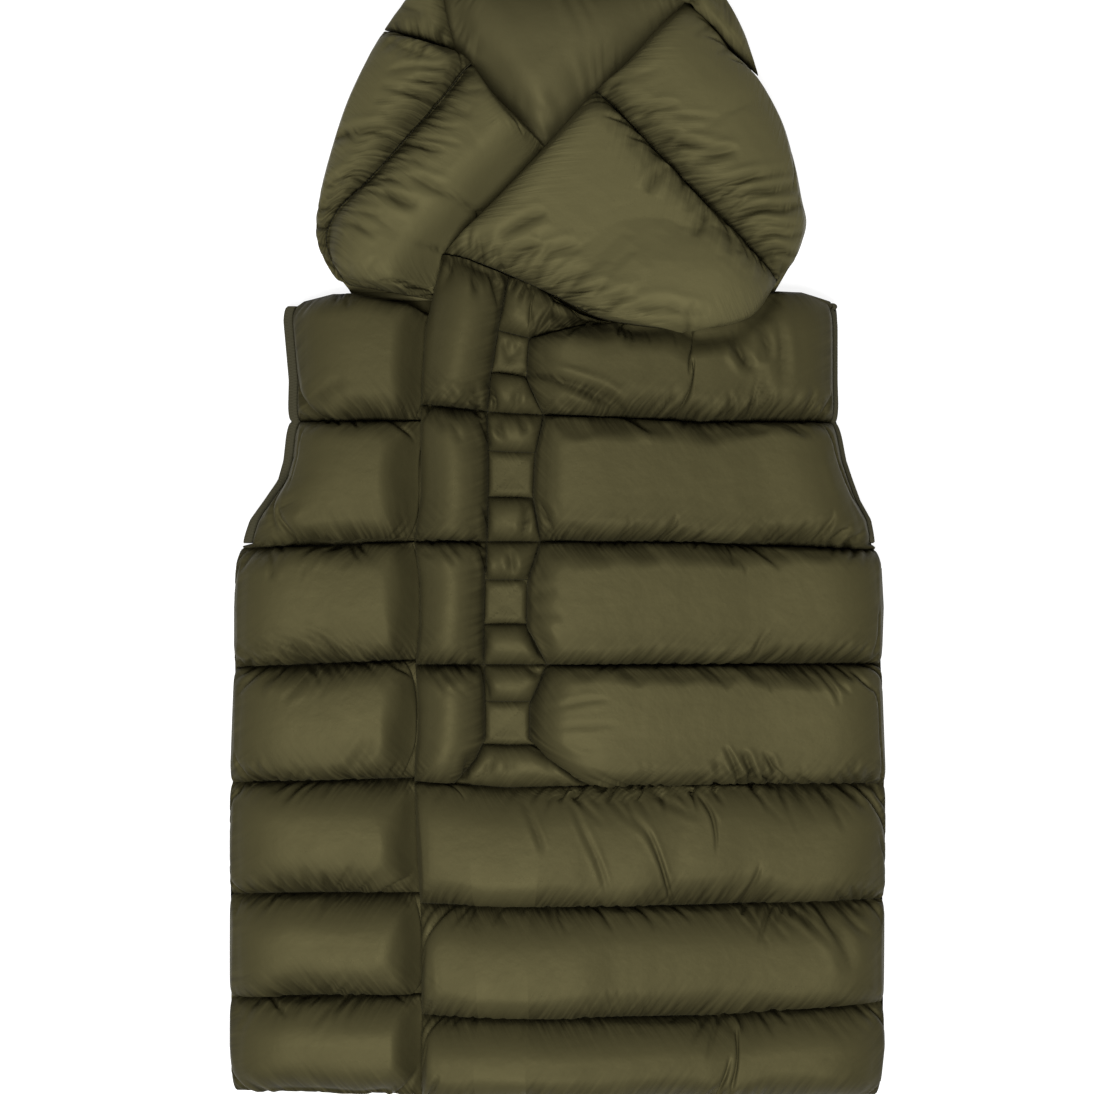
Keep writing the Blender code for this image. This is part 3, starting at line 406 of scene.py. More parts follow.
LEFT_HOOD_LOWER_FANS = table(
    Fan, (LEFT_BAFFLE_SEAM, -94, 28, 22), (LEFT_HOOD_NECK[:5], 42, 34, 12, WIDE, (0.8, 2.2)),
    (LEFT_HOOD_NECK[:5], 42, 20, 14), (LEFT_HOOD_NECK[4:] + LEFT_HOOD_FOOT[1:4], 70, 18, 6))
LEFT_HOOD_UPPER_FANS = table(
    Fan, (LEFT_BAFFLE_SEAM, 2, 56, 15, WIDE, DEEP), (LEFT_BAFFLE_SEAM, 5, 30, 18),
    (LEFT_CROWN_SEAM, 215, 22, 9))
CROWN_CREASES = table(
    Crease, (-150, 1000, -120, 990, 3, 1.3, 5), (-140, 1018, -110, 1012, 3, 1, 5),
    (140, 1012, 156, 976, 3, 1.2, 5), (122, 1040, 146, 996, -4, 1.2, 5),
    (-20, 1045, -12, 1080, 2, 0.9, 6), (50, 1040, 60, 1070, 2, 0.9, 6))
CROWN_FANS = table(Fan, (RIGHT_CROWN_SEAM, 60, 26, 9), (LEFT_CROWN_SEAM, 100, 26, 9))
LINING_CREASES = table(
    Crease, (-102, 1004, -84, 960, 3, 1.6, 4), (-94, 1004, -70, 974, 3, 1.3, 3.5),
    (-84, 1006, -56, 982, 3, 1.4, 4), (-98, 986, -62, 966, -3, 1.2, 4),
    (-60, 1012, -30, 988, 4, 1.1, 5), (-88, 972, -60, 950, 2, 1, 4))
BACK_RUNS = [Run(row, side, -280, 280, lean, 20, 30, 1) for row in range(len(BACK_SEAMS))
             for side, lean in (("top", 0.5), ("low", -0.4))]
HOOD_BACK_FANS = table(Fan, ([(-190, 800), (0, 790), (190, 800)], 90, 40, 20),
                       ([(-150, 960), (0, 970), (150, 950)], -90, 40, 20))


# ---------------- curves and outlines

def read(line, x):
    """Height of a polyline of (x, y) points at x."""
    return np.interp(x, *np.asarray(line, float).T)


def column_at(rows, y, column):
    """One column of a table, read off at heights y."""
    return np.interp(y, [row.y for row in rows], [getattr(row, column) for row in rows])


def smooth_path(points, shares):
    """Points at shares of the length of a rounded curve through the given ones."""
    points = np.asarray(points, float)
    knots = np.vstack([2 * points[0] - points[1], points, 2 * points[-1] - points[-2]])
    fine = []
    for a, b, c, d in zip(knots, knots[1:], knots[2:], knots[3:]):
        for t in np.linspace(0, 1, CURVE_STEPS, endpoint=False):
            fine.append(0.5 * (2 * b + (c - a) * t + (2 * a - 5 * b + 4 * c - d) * t ** 2
                               + (3 * b - a - 3 * c + d) * t ** 3))
    return points_at(np.array(fine + [points[-1]]), shares)


def points_at(line, shares):
    """Points at shares of the length of a polyline of two or three dimensions."""
    steps = np.linalg.norm(np.diff(line, axis=0), axis=1)
    length = np.concatenate([[0], np.cumsum(steps)])
    wanted = length[-1] * shares
    return np.column_stack([np.interp(wanted, length, line[:, k]) for k in range(line.shape[1])])


def side_proud(y):
    """How far a front's cloth stands proud of its node's side, below the armhole."""
    return SIDE_PROUD * np.clip((UNDERARM_Y - y) / SIDE_PROUD_FADE, 0, 1)


def eased(share):
    """A smooth rise from 0 to 1."""
    share = np.clip(share, 0, 1)
    return share * share * (3 - 2 * share)


def rounded(distance, reach):
    """Share of its full height that filled cloth has at a distance from its seam."""
    if not reach:
        return 1.0
    return np.sqrt(1 - (1 - np.clip(distance / (SPREAD * reach), 0, 1)) ** ROUNDNESS)


def graded(length, cell):
    """Shares of a length where grid lines lie: a cell apart, and closer at both ends."""
    fine = np.linspace(0, length, DENSITY_STEPS)
    density = 1 + FINER * (np.exp(-fine / FINER_REACH) + np.exp((fine - length) / FINER_REACH))
    lines = np.concatenate([[0], np.cumsum((density[1:] + density[:-1]) / 2)])
    count = max(2, round(lines[-1] * fine[1] / cell))
    return np.interp(np.linspace(0, lines[-1], count + 1), lines, fine) / length


def cells(*curves):
    """Shares of their lengths where the hood's grid lines cross some curves."""
    return graded(max(np.linalg.norm(np.diff(np.asarray(curve, float), axis=0), axis=1).sum()
                      for curve in curves), HOOD_CELL)


def inside_outline(plan, outline):
    """Which plan points lie inside a closed outline."""
    x, y = plan[..., 0], plan[..., 1]
    inside = np.zeros(x.shape, bool)
    for (x0, y0), (x1, y1) in zip(outline, outline[1:] + outline[:1]):
        if y0 != y1:
            crossing = (y < max(y0, y1)) & (y >= min(y0, y1))
            inside ^= crossing & (x < x0 + (y - y0) * (x1 - x0) / (y1 - y0))
    return inside


# ---------------- grids

def body_grid(seams, stops, across, cell, sides):
    """Plan points of a panel, with the row and the share of it at each grid line.

    Grid lines run along the seams and along the stops, given for each row as
    shares of its height. across gives the columns' X at a height."""
    levels = []
    for k, (upper, lower) in enumerate(zip(seams, seams[1:])):
        height = np.mean([read(upper, x) - read(lower, x) for x in ROWS_MEASURED_AT])
        for start, end in zip(stops[k], stops[k][1:]):
            places = start + (end - start) * graded((end - start) * height, cell)
            levels += [(k, share) for share in places[:-1]]
    levels.append((len(seams) - 2, 1.0))
    plan = []
    for k, share in levels:
        x = across(read(seams[k], np.zeros(1)))
        for _ in range(GRID_ROUNDS):
            y = (1 - share) * read(seams[k], x) + share * read(seams[k + 1], x)
            x = across(y)
        height = y.mean() - read(seams[k + 1], x).mean()
        notch = SEAM_NOTCH * (1 - rounded(height, NOTCH_HEIGHT) * rounded(
            (read(seams[k], x) - y).mean(), NOTCH_HEIGHT))
        for side in sides:
            rim, inward = (x[0], 1) if side == "right" else (x[-1], -1)
            x = x + inward * notch * np.clip(1 - np.abs(x - rim) / NOTCH_REACH, 0, 1)
        plan.append(np.column_stack([x, y]))
    return np.array(plan), levels


def seam_lines(levels):
    """The grid rows that lie along a panel's seams."""
    return [i for i, (_, share) in enumerate(levels) if share in (0, 1)]


def seam_masks(shape, rows=(0, -1)):
    """Where a piece's seams run across its grid, in some rows, and down its two sides."""
    across, down = np.zeros((2,) + shape, bool)
    across[list(rows)] = True
    down[:, [0, -1]] = True
    return across, down


def patch(first, last, start, end, along, across):
    """Plan points between two long curves (first, last) and two others (start, end),
    with grid lines at shares of their lengths."""
    first, last = smooth_path(first, along), smooth_path(last, along)
    start, end = smooth_path(start, across), smooth_path(end, across)
    s, t = along[None, :, None], across[:, None, None]
    ruled = (1 - t) * first[None] + t * last[None] + (1 - s) * start[:, None] + s * end[:, None]
    corners = ((1 - t) * ((1 - s) * first[0] + s * first[-1])
               + t * ((1 - s) * last[0] + s * last[-1]))
    return ruled - corners


def drawn_in(whole):
    """A grid whose rim is drawn in, to leave room for the pieces beside it."""
    plan = whole.copy()
    for rim, inner in ((0, 1), (-1, -2)):
        step = whole[inner] - whole[rim]
        plan[rim] += LAYER_GAP * step / np.linalg.norm(step, axis=1)[:, None]
        step = whole[:, inner] - whole[:, rim]
        plan[:, rim] += LAYER_GAP * step / np.linalg.norm(step, axis=1)[:, None]
    return plan


def node_heights(node, plan):
    """Heights of a CAD node's upper and lower faces over plan points."""
    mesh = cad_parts[node].data
    tree = BVHTree.FromPolygons([v.co for v in mesh.vertices], [p.vertices for p in mesh.polygons])
    flat = (plan - FOOTPRINT_MIDDLE) * MM
    heights = np.full((2,) + plan.shape[:2], np.nan)
    for place in np.ndindex(plan.shape[:2]):
        x, y = flat[place]
        for face, (start, way) in enumerate(((1, -1), (-1, 1))):
            hit = tree.ray_cast((x, y, start), (0, 0, way))[0]
            if hit is not None:
                heights[(face,) + place] = hit.z / MM
    return [with_rim(face) for face in heights]


def with_rim(heights):
    """Heights with the points that missed the node filled in from beside them."""
    heights = heights.copy()
    heights[0] = heights[-1] = heights[:, 0] = heights[:, -1] = np.nan
    while np.isnan(heights).any():
        around = np.pad(heights, 1, constant_values=np.nan)
        beside = np.stack([around[:-2, 1:-1], around[2:, 1:-1],
                           around[1:-1, :-2], around[1:-1, 2:]])
        known = ~np.isnan(beside)
        mean = np.where(known, beside, 0).sum(0) / np.maximum(known.sum(0), 1)
        heights = np.where(np.isnan(heights) & known.any(0), mean, heights)
    return heights


def distance_along(plan, marked, axis):
    """Distance of each point from the nearest marked one on its own grid line."""
    steps = np.linalg.norm(np.diff(plan, axis=axis), axis=2)
    far = np.where(marked, 0.0, FAR)
    if axis == 1:
        steps, far = steps.T, far.T
    for i in range(1, len(far)):
        far[i] = np.minimum(far[i], far[i - 1] + steps[i - 1])
    for i in range(len(far) - 2, -1, -1):
        far[i] = np.minimum(far[i], far[i + 1] + steps[i])
    return far.T if axis == 1 else far


def broad_top(heights, reach):
    """The greatest height within some grid steps of each point."""
    for axis in (0, 1):
        wide = np.moveaxis(heights, axis, 0)
        for _ in range(reach):
            wide = np.maximum(wide, np.maximum(
                np.concatenate([wide[1:], wide[-1:]]), np.concatenate([wide[:1], wide[:-1]])))
        heights = np.moveaxis(wide, 0, axis)
    return heights


def uneven(shape, knots, dice):
    """A smooth random field over a grid, from 0 to 1, with so many knots down and across."""
    values = dice.random(knots)
    down, across = (np.linspace(0, count - 1, size) for count, size in zip(knots, shape))
    lines = np.array([np.interp(across, np.arange(knots[1]), line) for line in values])
    return np.array([np.interp(down, np.arange(knots[0]), line) for line in lines.T]).T


def leaning(shape, knots, dice):
    """How far the cloth's weave leans, which changes over a grid."""
    return LEAN * (2 * uneven(shape, knots, dice) - 1)


# ---------------- filling

# How far from each of its four sides a stitched cell takes to reach full height, and
# how much rounder than level its middle is. lift is how high its top seam stands, and
# peak is how far down the cell it is fullest.
Fill = namedtuple("Fill", "top low start end crown lift peak", defaults=[0, 0.5])


def filled(plan, upper, base, rows, columns, fill):
    """Heights of one stitched cell: steep at its sides and nearly level between."""
    place = plan[rows, columns]
    above = np.abs(place[..., 1] - place[:1, :, 1])
    below = np.abs(place[..., 1] - place[-1:, :, 1])
    before = np.abs(place[..., 0] - place[:, :1, 0])
    after = np.abs(place[..., 0] - place[:, -1:, 0])
    share = above / (above + below) - fill.peak
    middle = share / np.where(share < 0, fill.peak, 1 - fill.peak)
    rise = ((fill.lift + (1 - fill.lift) * rounded(above, fill.top)) * rounded(below, fill.low)
            * rounded(before, fill.start) * rounded(after, fill.end)
            * (1 - fill.crown * middle ** 2))
    crest = evened(upper[rows, columns].max(0), place[..., 0].mean(0))
    return base[rows, columns] + FULLNESS * (crest - base[rows, columns]) * rise


def evened(crest, x):
    """A crest line without its narrow steps."""
    near = np.abs(x[:, None] - x) < CREST_REACH
    crest = np.where(near, crest, -np.inf).max(1)
    return near @ crest / near.sum(1)


# ---------------- folds

def row_gathers(seams, runs, dice):
    """The creases of a panel's gathers, each rooted in its seam."""
    found = []
    for run in runs:
        seam, way = (seams[run.row], -1) if run.side == "top" else (seams[run.row + 1], 1)
        for x in np.linspace(run.x0, run.x1, run.count) + dice.uniform(-0.5, 0.5, run.count) * (
                run.x1 - run.x0) / run.count:
            length = run.length * dice.uniform(*UNEVEN_LENGTHS)
            lean = run.lean + dice.normal(0, UNEVEN_LEAN)
            y = read(seam, x)
            found.append(Crease(x, y, x + way * lean * length, y + way * length,
                                dice.normal(0, UNEVEN_BOW) * length,
                                run.pull * dice.uniform(*UNEVEN_PULLS),
                                dice.uniform(*GATHER_WIDTHS)))
    return found


def fan_gathers(fans, dice):
    """The creases that leave a curved seam, each rooted in it."""
    found = []
    for fan in fans:
        places = FAN_PLACES * fan.count
        roots = smooth_path(fan.line, np.linspace(0, 1, places))
        for x, y in roots[dice.permutation(places)[:fan.count]]:
            length = fan.length * dice.uniform(*UNEVEN_FAN_LENGTHS)
            angle = np.radians(fan.angle + dice.normal(0, UNEVEN_FAN_ANGLE))
            found.append(Crease(x, y, x + length * np.cos(angle), y + length * np.sin(angle),
                                dice.normal(0, UNEVEN_FAN_BOW) * length,
                                dice.uniform(*fan.pulls), dice.uniform(*fan.widths)))
    return found


def drawn_down(plan, creases, rooted):
    """How strongly each grid point is drawn in by the creases over it, and less than
    nothing on the ridges beside them."""
    drawn = np.zeros(plan.shape[:2])
    for crease in creases:
        start = np.array([crease.x0, crease.y0])
        run = np.array([crease.x1, crease.y1]) - start
        size = np.linalg.norm(run)
        reach = CREASE_REACH * crease.width + abs(crease.bow)
        low = np.minimum(start, start + run) - reach
        high = np.maximum(start, start + run) + reach
        near = ((plan > low) & (plan < high)).all(2)
        offset = plan[near] - start
        share = np.clip(offset @ run / size ** 2, 0, 1)
        across = (run[0] * offset[:, 1] - run[1] * offset[:, 0]) / size
        past = np.linalg.norm(offset - share[:, None] * run, axis=1) - np.abs(across)
        across = np.abs((across - crease.bow * 4 * share * (1 - share)) / crease.width)
        body = 1 - share if rooted else np.minimum(1, CREASE_ENDS * share * (1 - share))
        profile = (np.exp(-across ** CREASE_SHARPNESS)
                   - RIDGE * np.exp(-(across - RIDGE_PLACE) ** 2))
        drawn[near] += (crease.pull * body ** CREASE_TAPER
                        * np.exp(-(past / CREASE_PAST) ** 2) * profile)
    return np.clip(drawn, LEAST_DRAWN, MOST_DRAWN)


def creased(plan, pinned, base, target, most, creases, gathers):
    """Where creased cloth starts from, how it is drawn in, and how high it may stand."""
    by_hand, at_seams = drawn_down(plan, creases, False), drawn_down(plan, gathers, True)
    dent = CREASE_DEPTH * by_hand + GATHER_DEPTH * at_seams
    start = np.where(pinned, base, np.clip(target - dent, base, most))
    return (np.dstack([plan, start]), np.clip(np.maximum(by_hand, at_seams), 0, DEEPEST),
            np.minimum(target + RELIEF - dent, most))


# ---------------- settling

def spring_batches(rows, columns):
    """Pairs of grid points, in batches that share none: along rows (x), down columns (y),
    both diagonals (d, e), and two steps along (bx) and down (by)."""
    for s in (0, 1):
        yield "x", (ALL, slice(s, columns - 1, 2)), (ALL, slice(s + 1, columns, 2))
        yield "y", (slice(s, rows - 1, 2), ALL), (slice(s + 1, rows, 2), ALL)
        yield "d", (slice(s, rows - 1, 2), slice(0, -1)), (slice(s + 1, rows, 2), slice(1, None))
        yield "e", (slice(s, rows - 1, 2), slice(1, None)), (slice(s + 1, rows, 2), slice(0, -1))
    for s in range(4):
        yield "bx", (ALL, slice(s, columns - 2, 4)), (ALL, slice(s + 2, columns, 4))
        yield "by", (slice(s, rows - 2, 4), ALL), (slice(s + 2, rows, 4), ALL)


def cloth_springs(start, free, slack_x, slack_y, lean):
    """Springs of the cloth: the two points, their shares of a move, rest length, stiffnesses."""
    springs = []
    for kind, a, b in spring_batches(*free.shape):
        base = np.sqrt(((start[(ALL,) + b] - start[(ALL,) + a]) ** 2).sum(0))
        wide = 1 + 0.5 * (slack_x[a] + slack_x[b])
        tall = 1 + 0.5 * (slack_y[a] + slack_y[b])
        tilt = 0.5 * (lean[a] + lean[b])
        diagonal = np.sqrt((wide ** 2 + tall ** 2) / 2)
        grown = {"x": wide, "y": tall, "bx": wide, "by": tall,
                 "d": diagonal * (1 + tilt), "e": diagonal * (1 - tilt)}[kind]
        total = np.maximum(free[a] + free[b], 1)
        numbers = [values.astype(np.float32)
                   for values in (free[a] / total, free[b] / total, base * grown)]
        springs.append((a, b, *numbers, *STIFFNESS[kind]))
    return springs


def settle(points, pinned, slack_x, slack_y, lean, drawn, floor, ceiling, outward, dice):
    """Cloth on a grid, let find its shape over the air that it holds in.

    It is as long as the start shape plus its slack, pinned where asked, drawn in
    along its creases, and kept between floor and ceiling."""
    place = np.ascontiguousarray(points.transpose(2, 0, 1)).astype(np.float32)
    free = np.where(pinned, 0.0, 1.0)
    springs = cloth_springs(place, free, slack_x, slack_y, lean)
    plan = points[..., :2]
    room = np.minimum(distance_along(plan, pinned, 0), distance_along(plan, pinned, 1))
    room = np.minimum(MOST_MOVE, MOVE_SHARE * room + LEAST_MOVE)
    least = place[:2] - room
    most = place[:2] + room
    floor, ceiling = floor.astype(np.float32), np.maximum(ceiling, floor).astype(np.float32)
    tremble = dice.standard_normal(free.shape)
    for _ in range(TREMBLE_ROUNDS):
        tremble[1:-1, 1:-1] = (tremble[:-2, 1:-1] + tremble[2:, 1:-1] + tremble[1:-1, :-2]
                               + tremble[1:-1, 2:] + tremble[1:-1, 1:-1]) / 5
    place[2] += (TREMBLE * tremble / tremble.std() * free).astype(np.float32)
    push = (PUSH * (1 - drawn) * free).astype(np.float32)
    before = place.copy()
    for _ in range(SETTLE_STEPS):
        normal = np.cross(np.gradient(place, axis=2), np.gradient(place, axis=1), axis=0)
        normal *= outward / np.maximum(np.sqrt((normal ** 2).sum(0)), TINY) * np.sign(
            normal[2].mean())
        moving = (place - before) * (GLIDE * free)
        before = place.copy()
        place += moving + push * normal
        for _ in range(SETTLE_ROUNDS):
            for a, b, share_a, share_b, rest, stretch, squeeze in springs:
                first, second = place[(ALL,) + a], place[(ALL,) + b]
                gap = second - first
                size = np.sqrt((gap ** 2).sum(0)) + TINY
                over = size - rest
                gap *= over * np.where(over > 0, stretch, squeeze) / size
                first += share_a * gap
                second -= share_b * gap
        place[:2] = np.clip(place[:2], least, most)
        place[2] = np.clip(place[2], floor, ceiling)
    return place.transpose(1, 2, 0).astype(float)


# ---------------- meshes

def mesh_object(name, points, faces, finish):
    """A smooth object from points in millimetres, its faces turned outwards."""
    mesh = bpy.data.meshes.new(name)
    metres = np.asarray(points, float) * MM
    metres[:, :2] -= FOOTPRINT_MIDDLE * MM
    mesh.from_pydata(metres, [], faces)
    mesh.shade_smooth()
    mesh_data = bmesh.new()
    mesh_data.from_mesh(mesh)
    bmesh.ops.recalc_face_normals(mesh_data, faces=mesh_data.faces)
    if mesh_data.calc_volume(signed=True) < 0:
        bmesh.ops.reverse_faces(mesh_data, faces=mesh_data.faces)
    mesh_data.to_mesh(mesh)
    mesh_data.free()
    mesh.materials.append(finish)
    piece = bpy.data.objects.new(name, mesh)
    bpy.context.scene.collection.objects.link(piece)
    return piece


def quads(index):
    """The faces of a grid of point numbers."""
    return np.stack([index[:-1, :-1], index[1:, :-1], index[1:, 1:], index[:-1, 1:]],
                    -1).reshape(-1, 4).tolist()


def closed_wall(name, outer, inner, finish, step):
    """A closed wall between a fine outer grid and an inner one kept at every step-th row."""
    rows, columns = outer.shape[:2]
    kept = sorted(set(range(0, rows, step)) | {rows - 1})
    used = np.zeros((rows, columns), bool)
    used[kept] = True
    used[:, [0, -1]] = True
    out = np.arange(rows * columns).reshape(rows, columns)
    back = np.full((rows, columns), -1)
    back[used] = rows * columns + np.arange(used.sum())
    points = np.vstack([outer.reshape(-1, 3), inner[used]])
    faces = quads(out)
    for rim, foot in ((out[0], back[0]), (out[-1], back[-1]), (out[:, 0], back[:, 0]),
                      (out[:, -1], back[:, -1])):
        faces += [[a, b, d, c] for a, b, c, d in zip(rim, rim[1:], foot, foot[1:])]
    for top, low in zip(kept, kept[1:]):
        faces.append([*back[top:low + 1, 0], back[low, 1], back[top, 1]])
        faces += quads(back[[top, low], 1:-1])
        faces.append([*back[top:low + 1, -1], back[low, -2], back[top, -2]])
    return mesh_object(name, points, faces, finish)


def sew(piece, plan, across, down, gathered, drawn, pucker, easing=1.0):
    """Crease a piece's outer cloth along the seams that run across and down its grid, and
    note how many puckers along the nearest one each point is, how far from it, and how
    deep the puckers are there. Beside the gathered ones, across and down, and where it
    is drawn in, note how much painted shade darkens its colour, for the seams' and folds' shade."""
    mesh = piece.data
    rows, columns = across.shape
    pairs = np.zeros(2 * len(mesh.edges), int)
    mesh.edges.foreach_get("vertices", pairs)
    pairs = np.sort(pairs.reshape(-1, 2), axis=1)
    outer = pairs[:, 1] < rows * columns
    first, second = np.where(outer[:, None], pairs, 0).T
    sharp = np.zeros(len(pairs), bool)
    for seam, step in ((across.ravel(), 1), (down.ravel(), columns)):
        sharp |= outer & (second - first == step) & seam[first] & seam[second]
    mesh.edges.foreach_set("use_edge_sharp", sharp)

    def note(name, kind, field, values):
        every = np.zeros((len(mesh.vertices),) + values.shape[2:])
        every[:rows * columns] = values.reshape((-1,) + values.shape[2:])
        mesh.attributes.new(name, kind, "POINT").data.foreach_set(field, every.ravel())

    beside = [np.exp(-distance_along(plan, seam, axis) / pucker.reach)
              for axis, seam in enumerate((across, down))]
    along = [np.pad(np.cumsum(np.linalg.norm(np.diff(plan, axis=axis), axis=2), axis=axis),
                    [(1, 0), (0, 0)][::1 - 2 * axis]) for axis in (1, 0)]
    distance = -pucker.reach * np.log(np.maximum(*beside) + TINY)
    nearest = beside[0] >= beside[1]
    along = np.where(nearest, *along) + pucker.lean * distance
    depth = (np.abs(beside[0] - beside[1]) * pucker.depth * pucker.width / BODY_PUCKER.width
             * np.where(nearest, 1, pucker.down))
    note("pucker", "FLOAT_VECTOR", "vector",
         np.dstack([along / pucker.width, distance / PUCKER_LENGTH, depth]))
    # painted shade: how much the colour is darkened beside the gathered seams and in the folds
    from_across, from_down = (distance_along(plan, seam, axis)
                              for axis, seam in enumerate(gathered))
    above = np.diff(from_across, axis=0, append=FAR) < 0
    reach = np.where(above, ABOVE_SEAM, BELOW_SEAM)
    shade_beside_seam = easing * np.exp(-np.minimum(from_across / reach, from_down) / pucker.bunched)
    note("bunched", "FLOAT", "value",
         np.maximum(shade_beside_seam, FOLD_SHADE * np.minimum(drawn, DEEPEST_FOLD)))


def hand_over(piece, nodes=()):
    """Put a piece on the only body, and hide the CAD nodes that it stands for."""
    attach(piece, "root")
    if nodes:
        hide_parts(*nodes)


# ---------------- finishes

NYLON_GLOSS = {"Specular IOR Level": 0.18, "Specular Tint": (1.0, 0.88, 0.42, 1),
               "Sheen Weight": 0.02, "Sheen Roughness": 0.4, "Sheen Tint": (0.75, 0.7, 0.4, 1)}
CLOTH_TINT = 0.04
CLOTH_TINT_SCALE = 9.0
SHADE_TEETH = (2.6, -1.0)         # from a fold's foot to its top, how much of the painted shade it gets
ROUGHER_IN_PAINTED_SHADE = 0.3
ROUGHNESS_SPREAD = 0.05
ROUGHNESS_SCALE = 40.0
# Reliefs: scale of the pattern, strength, and depth in metres.
Surface = namedtuple("Surface", "scale strength depth")
WEAVE = Surface(420.0, 0.06, 0.0002)
WEAVE_DISTORTION = 0.4
CRUMPLE = Surface(70.0, 0.5, 0.0012)
CRUMPLE_DETAIL = 4.0
MATT_GLOSS = 0.15
MATT_TINT = 0.15
MATT_GRAIN = Surface(None, 0.3, 0.0003)


def feed(tree, node, inputs):
    """Set a node's inputs, by name or number, to values or to other nodes' outputs."""
    for name, value in inputs.items():
        if isinstance(value, bpy.types.NodeSocket):
            tree.links.new(value, node.inputs[name])
        else:
            node.inputs[name].default_value = value


def added(tree, kind, inputs, output, **settings):
    """An output of a new shader node with these inputs and settings."""
    node = tree.nodes.new("ShaderNode" + kind)
    for name, value in settings.items():
        setattr(node, name, value)
    feed(tree, node, inputs)
    return node.outputs[output]


def noise(tree, where, scale, detail=3.0):
    """An uneven pattern."""
    return added(tree, "TexNoise", {"Vector": where, "Scale": scale, "Detail": detail}, "Fac")


def ramp(tree, value, low, high):
    """A value from 0 to 1, turned into one from low to high."""
    return added(tree, "MapRange", {"Value": value, "To Min": low, "To Max": high}, "Result")


def mixed(tree, share, first, second):
    """A colour between two."""
    return added(tree, "Mix", {"Factor": share, "A": first, "B": second}, "Result",
                 data_type="RGBA")


def worked_out(tree, operation, *values):
    """The result of a sum."""
    return added(tree, "Math", dict(enumerate(values)), "Value", operation=operation)


def bumped(tree, height, surface, **under):
    """The normal of a relief, over that of another if one is given as Normal."""
    return added(tree, "Bump", {"Height": height, "Strength": surface.strength,
                                "Distance": surface.depth, **under}, "Normal")


def shade(color, amount):
    """A colour made lighter or darker, with its alpha."""
    return [amount * c for c in color] + [1]


def new_finish(name, settings):
    """A material with these settings, its nodes, its shader, and places on the object."""
    finish = bpy.data.materials.new(name)
    finish.use_nodes = True
    tree = finish.node_tree
    shader = tree.nodes["Principled BSDF"]
    feed(tree, shader, settings)
    return finish, tree, shader, added(tree, "TexCoord", {}, "Object")


def nylon(name, color, roughness):
    """Fine down-proof nylon: a soft sheen, a plain weave and a faint crinkle, and small
    puckers that run out of the seams, from what sew() noted, and painted shade: its colour
    darkened beside the seams and in the folds, in ragged teeth along the puckers."""
    finish, tree, shader, where = new_finish(name, NYLON_GLOSS)
    noted = added(tree, "Attribute", {}, "Vector", attribute_name="pucker")
    along, out, depth = (added(tree, "SeparateXYZ", {"Vector": noted}, axis) for axis in "XYZ")
    folds = noise(tree, added(tree, "CombineXYZ", {"X": along, "Y": out}, "Vector"), 1.0)
    height = worked_out(tree, "MULTIPLY", folds, depth)

    tint = mixed(tree, noise(tree, where, CLOTH_TINT_SCALE), shade(color, 1 - CLOTH_TINT),
                 shade(color, 1 + CLOTH_TINT))
    # painted shade: the colour darkened beside seams and in folds, raggedly along the puckers
    bunched = added(tree, "Attribute", {}, "Fac", attribute_name="bunched")
    painted_darkening = worked_out(tree, "MULTIPLY", bunched, ramp(tree, folds, *SHADE_TEETH))
    gloss = ramp(tree, noise(tree, where, ROUGHNESS_SCALE), roughness - ROUGHNESS_SPREAD,
                 roughness + ROUGHNESS_SPREAD)
    weave = added(tree, "TexWave", {"Vector": where, "Scale": WEAVE.scale,
                                    "Distortion": WEAVE_DISTORTION}, "Fac")
    relief = bumped(tree, weave, WEAVE)
    relief = bumped(tree, noise(tree, where, CRUMPLE.scale, CRUMPLE_DETAIL), CRUMPLE,
                    Normal=relief)
    relief = bumped(tree, height, Surface(None, 1.0, PUCKER_DEPTH * MM), Normal=relief)
    feed(tree, shader, {
        "Base Color": mixed(tree, painted_darkening, tint, shade(color, 1 - PAINTED_SHADE_STRENGTH)),
        "Roughness": worked_out(tree, "MULTIPLY_ADD", bunched, ROUGHER_IN_PAINTED_SHADE, gloss),
        "Normal": relief})
    return finish


def plain_cloth(name, color, roughness, scale, glow=()):
    """Matt thread, tape or stage cloth, with a fine uneven grain."""
    finish, tree, shader, where = new_finish(
        name, {"Roughness": roughness, "Specular IOR Level": MATT_GLOSS, **dict(glow)})
    grain = noise(tree, where, scale, 2.0)
    feed(tree, shader, {
        "Base Color": mixed(tree, grain, shade(color, 1 - MATT_TINT), shade(color, 1 + MATT_TINT)),
        "Normal": bumped(tree, grain, MATT_GRAIN)})
    return finish


# ---------------- body

NECK_LIFT = 0.65
SIDE_FILL = 44.0
EDGE_FILL = 26.0
PLACKET_FILL = 22.0
PLACKET_EASING = 0.3
FLAT_ROW = Fill(14, 13, EDGE_FILL, SIDE_FILL, 0.05)
TOP_ROW = FLAT_ROW._replace(top=30)
ROUND_ROW = Fill(26, 12, 12, SIDE_FILL, 0.42, 0, 0.74)
ROW_FILLS = [TOP_ROW] + [FLAT_ROW] * 3 + [ROUND_ROW] * 3
UNDER_ROW = Fill(16, 13, SIDE_FILL, 0, 0.12)
UNDER_FILLS = [UNDER_ROW] * 3 + [UNDER_ROW._replace(crown=0.2)] + [
    UNDER_ROW._replace(top=26, crown=0.3, peak=0.62)] * 3
PUFF_FILL = Fill(11, 11, 12, 12, 0.15)
SQUARE_FILL = Fill(5, 5, 5, 5, 0)
COLLAR_FILL = Fill(16, 14, 12, 0, 0.1, NECK_LIFT)
NECK_EDGE_FILL = FLAT_ROW._replace(end=EDGE_FILL, lift=NECK_LIFT)
BELOW_COLLAR_FILL = FLAT_ROW._replace(top=16, start=PLACKET_FILL, end=0)

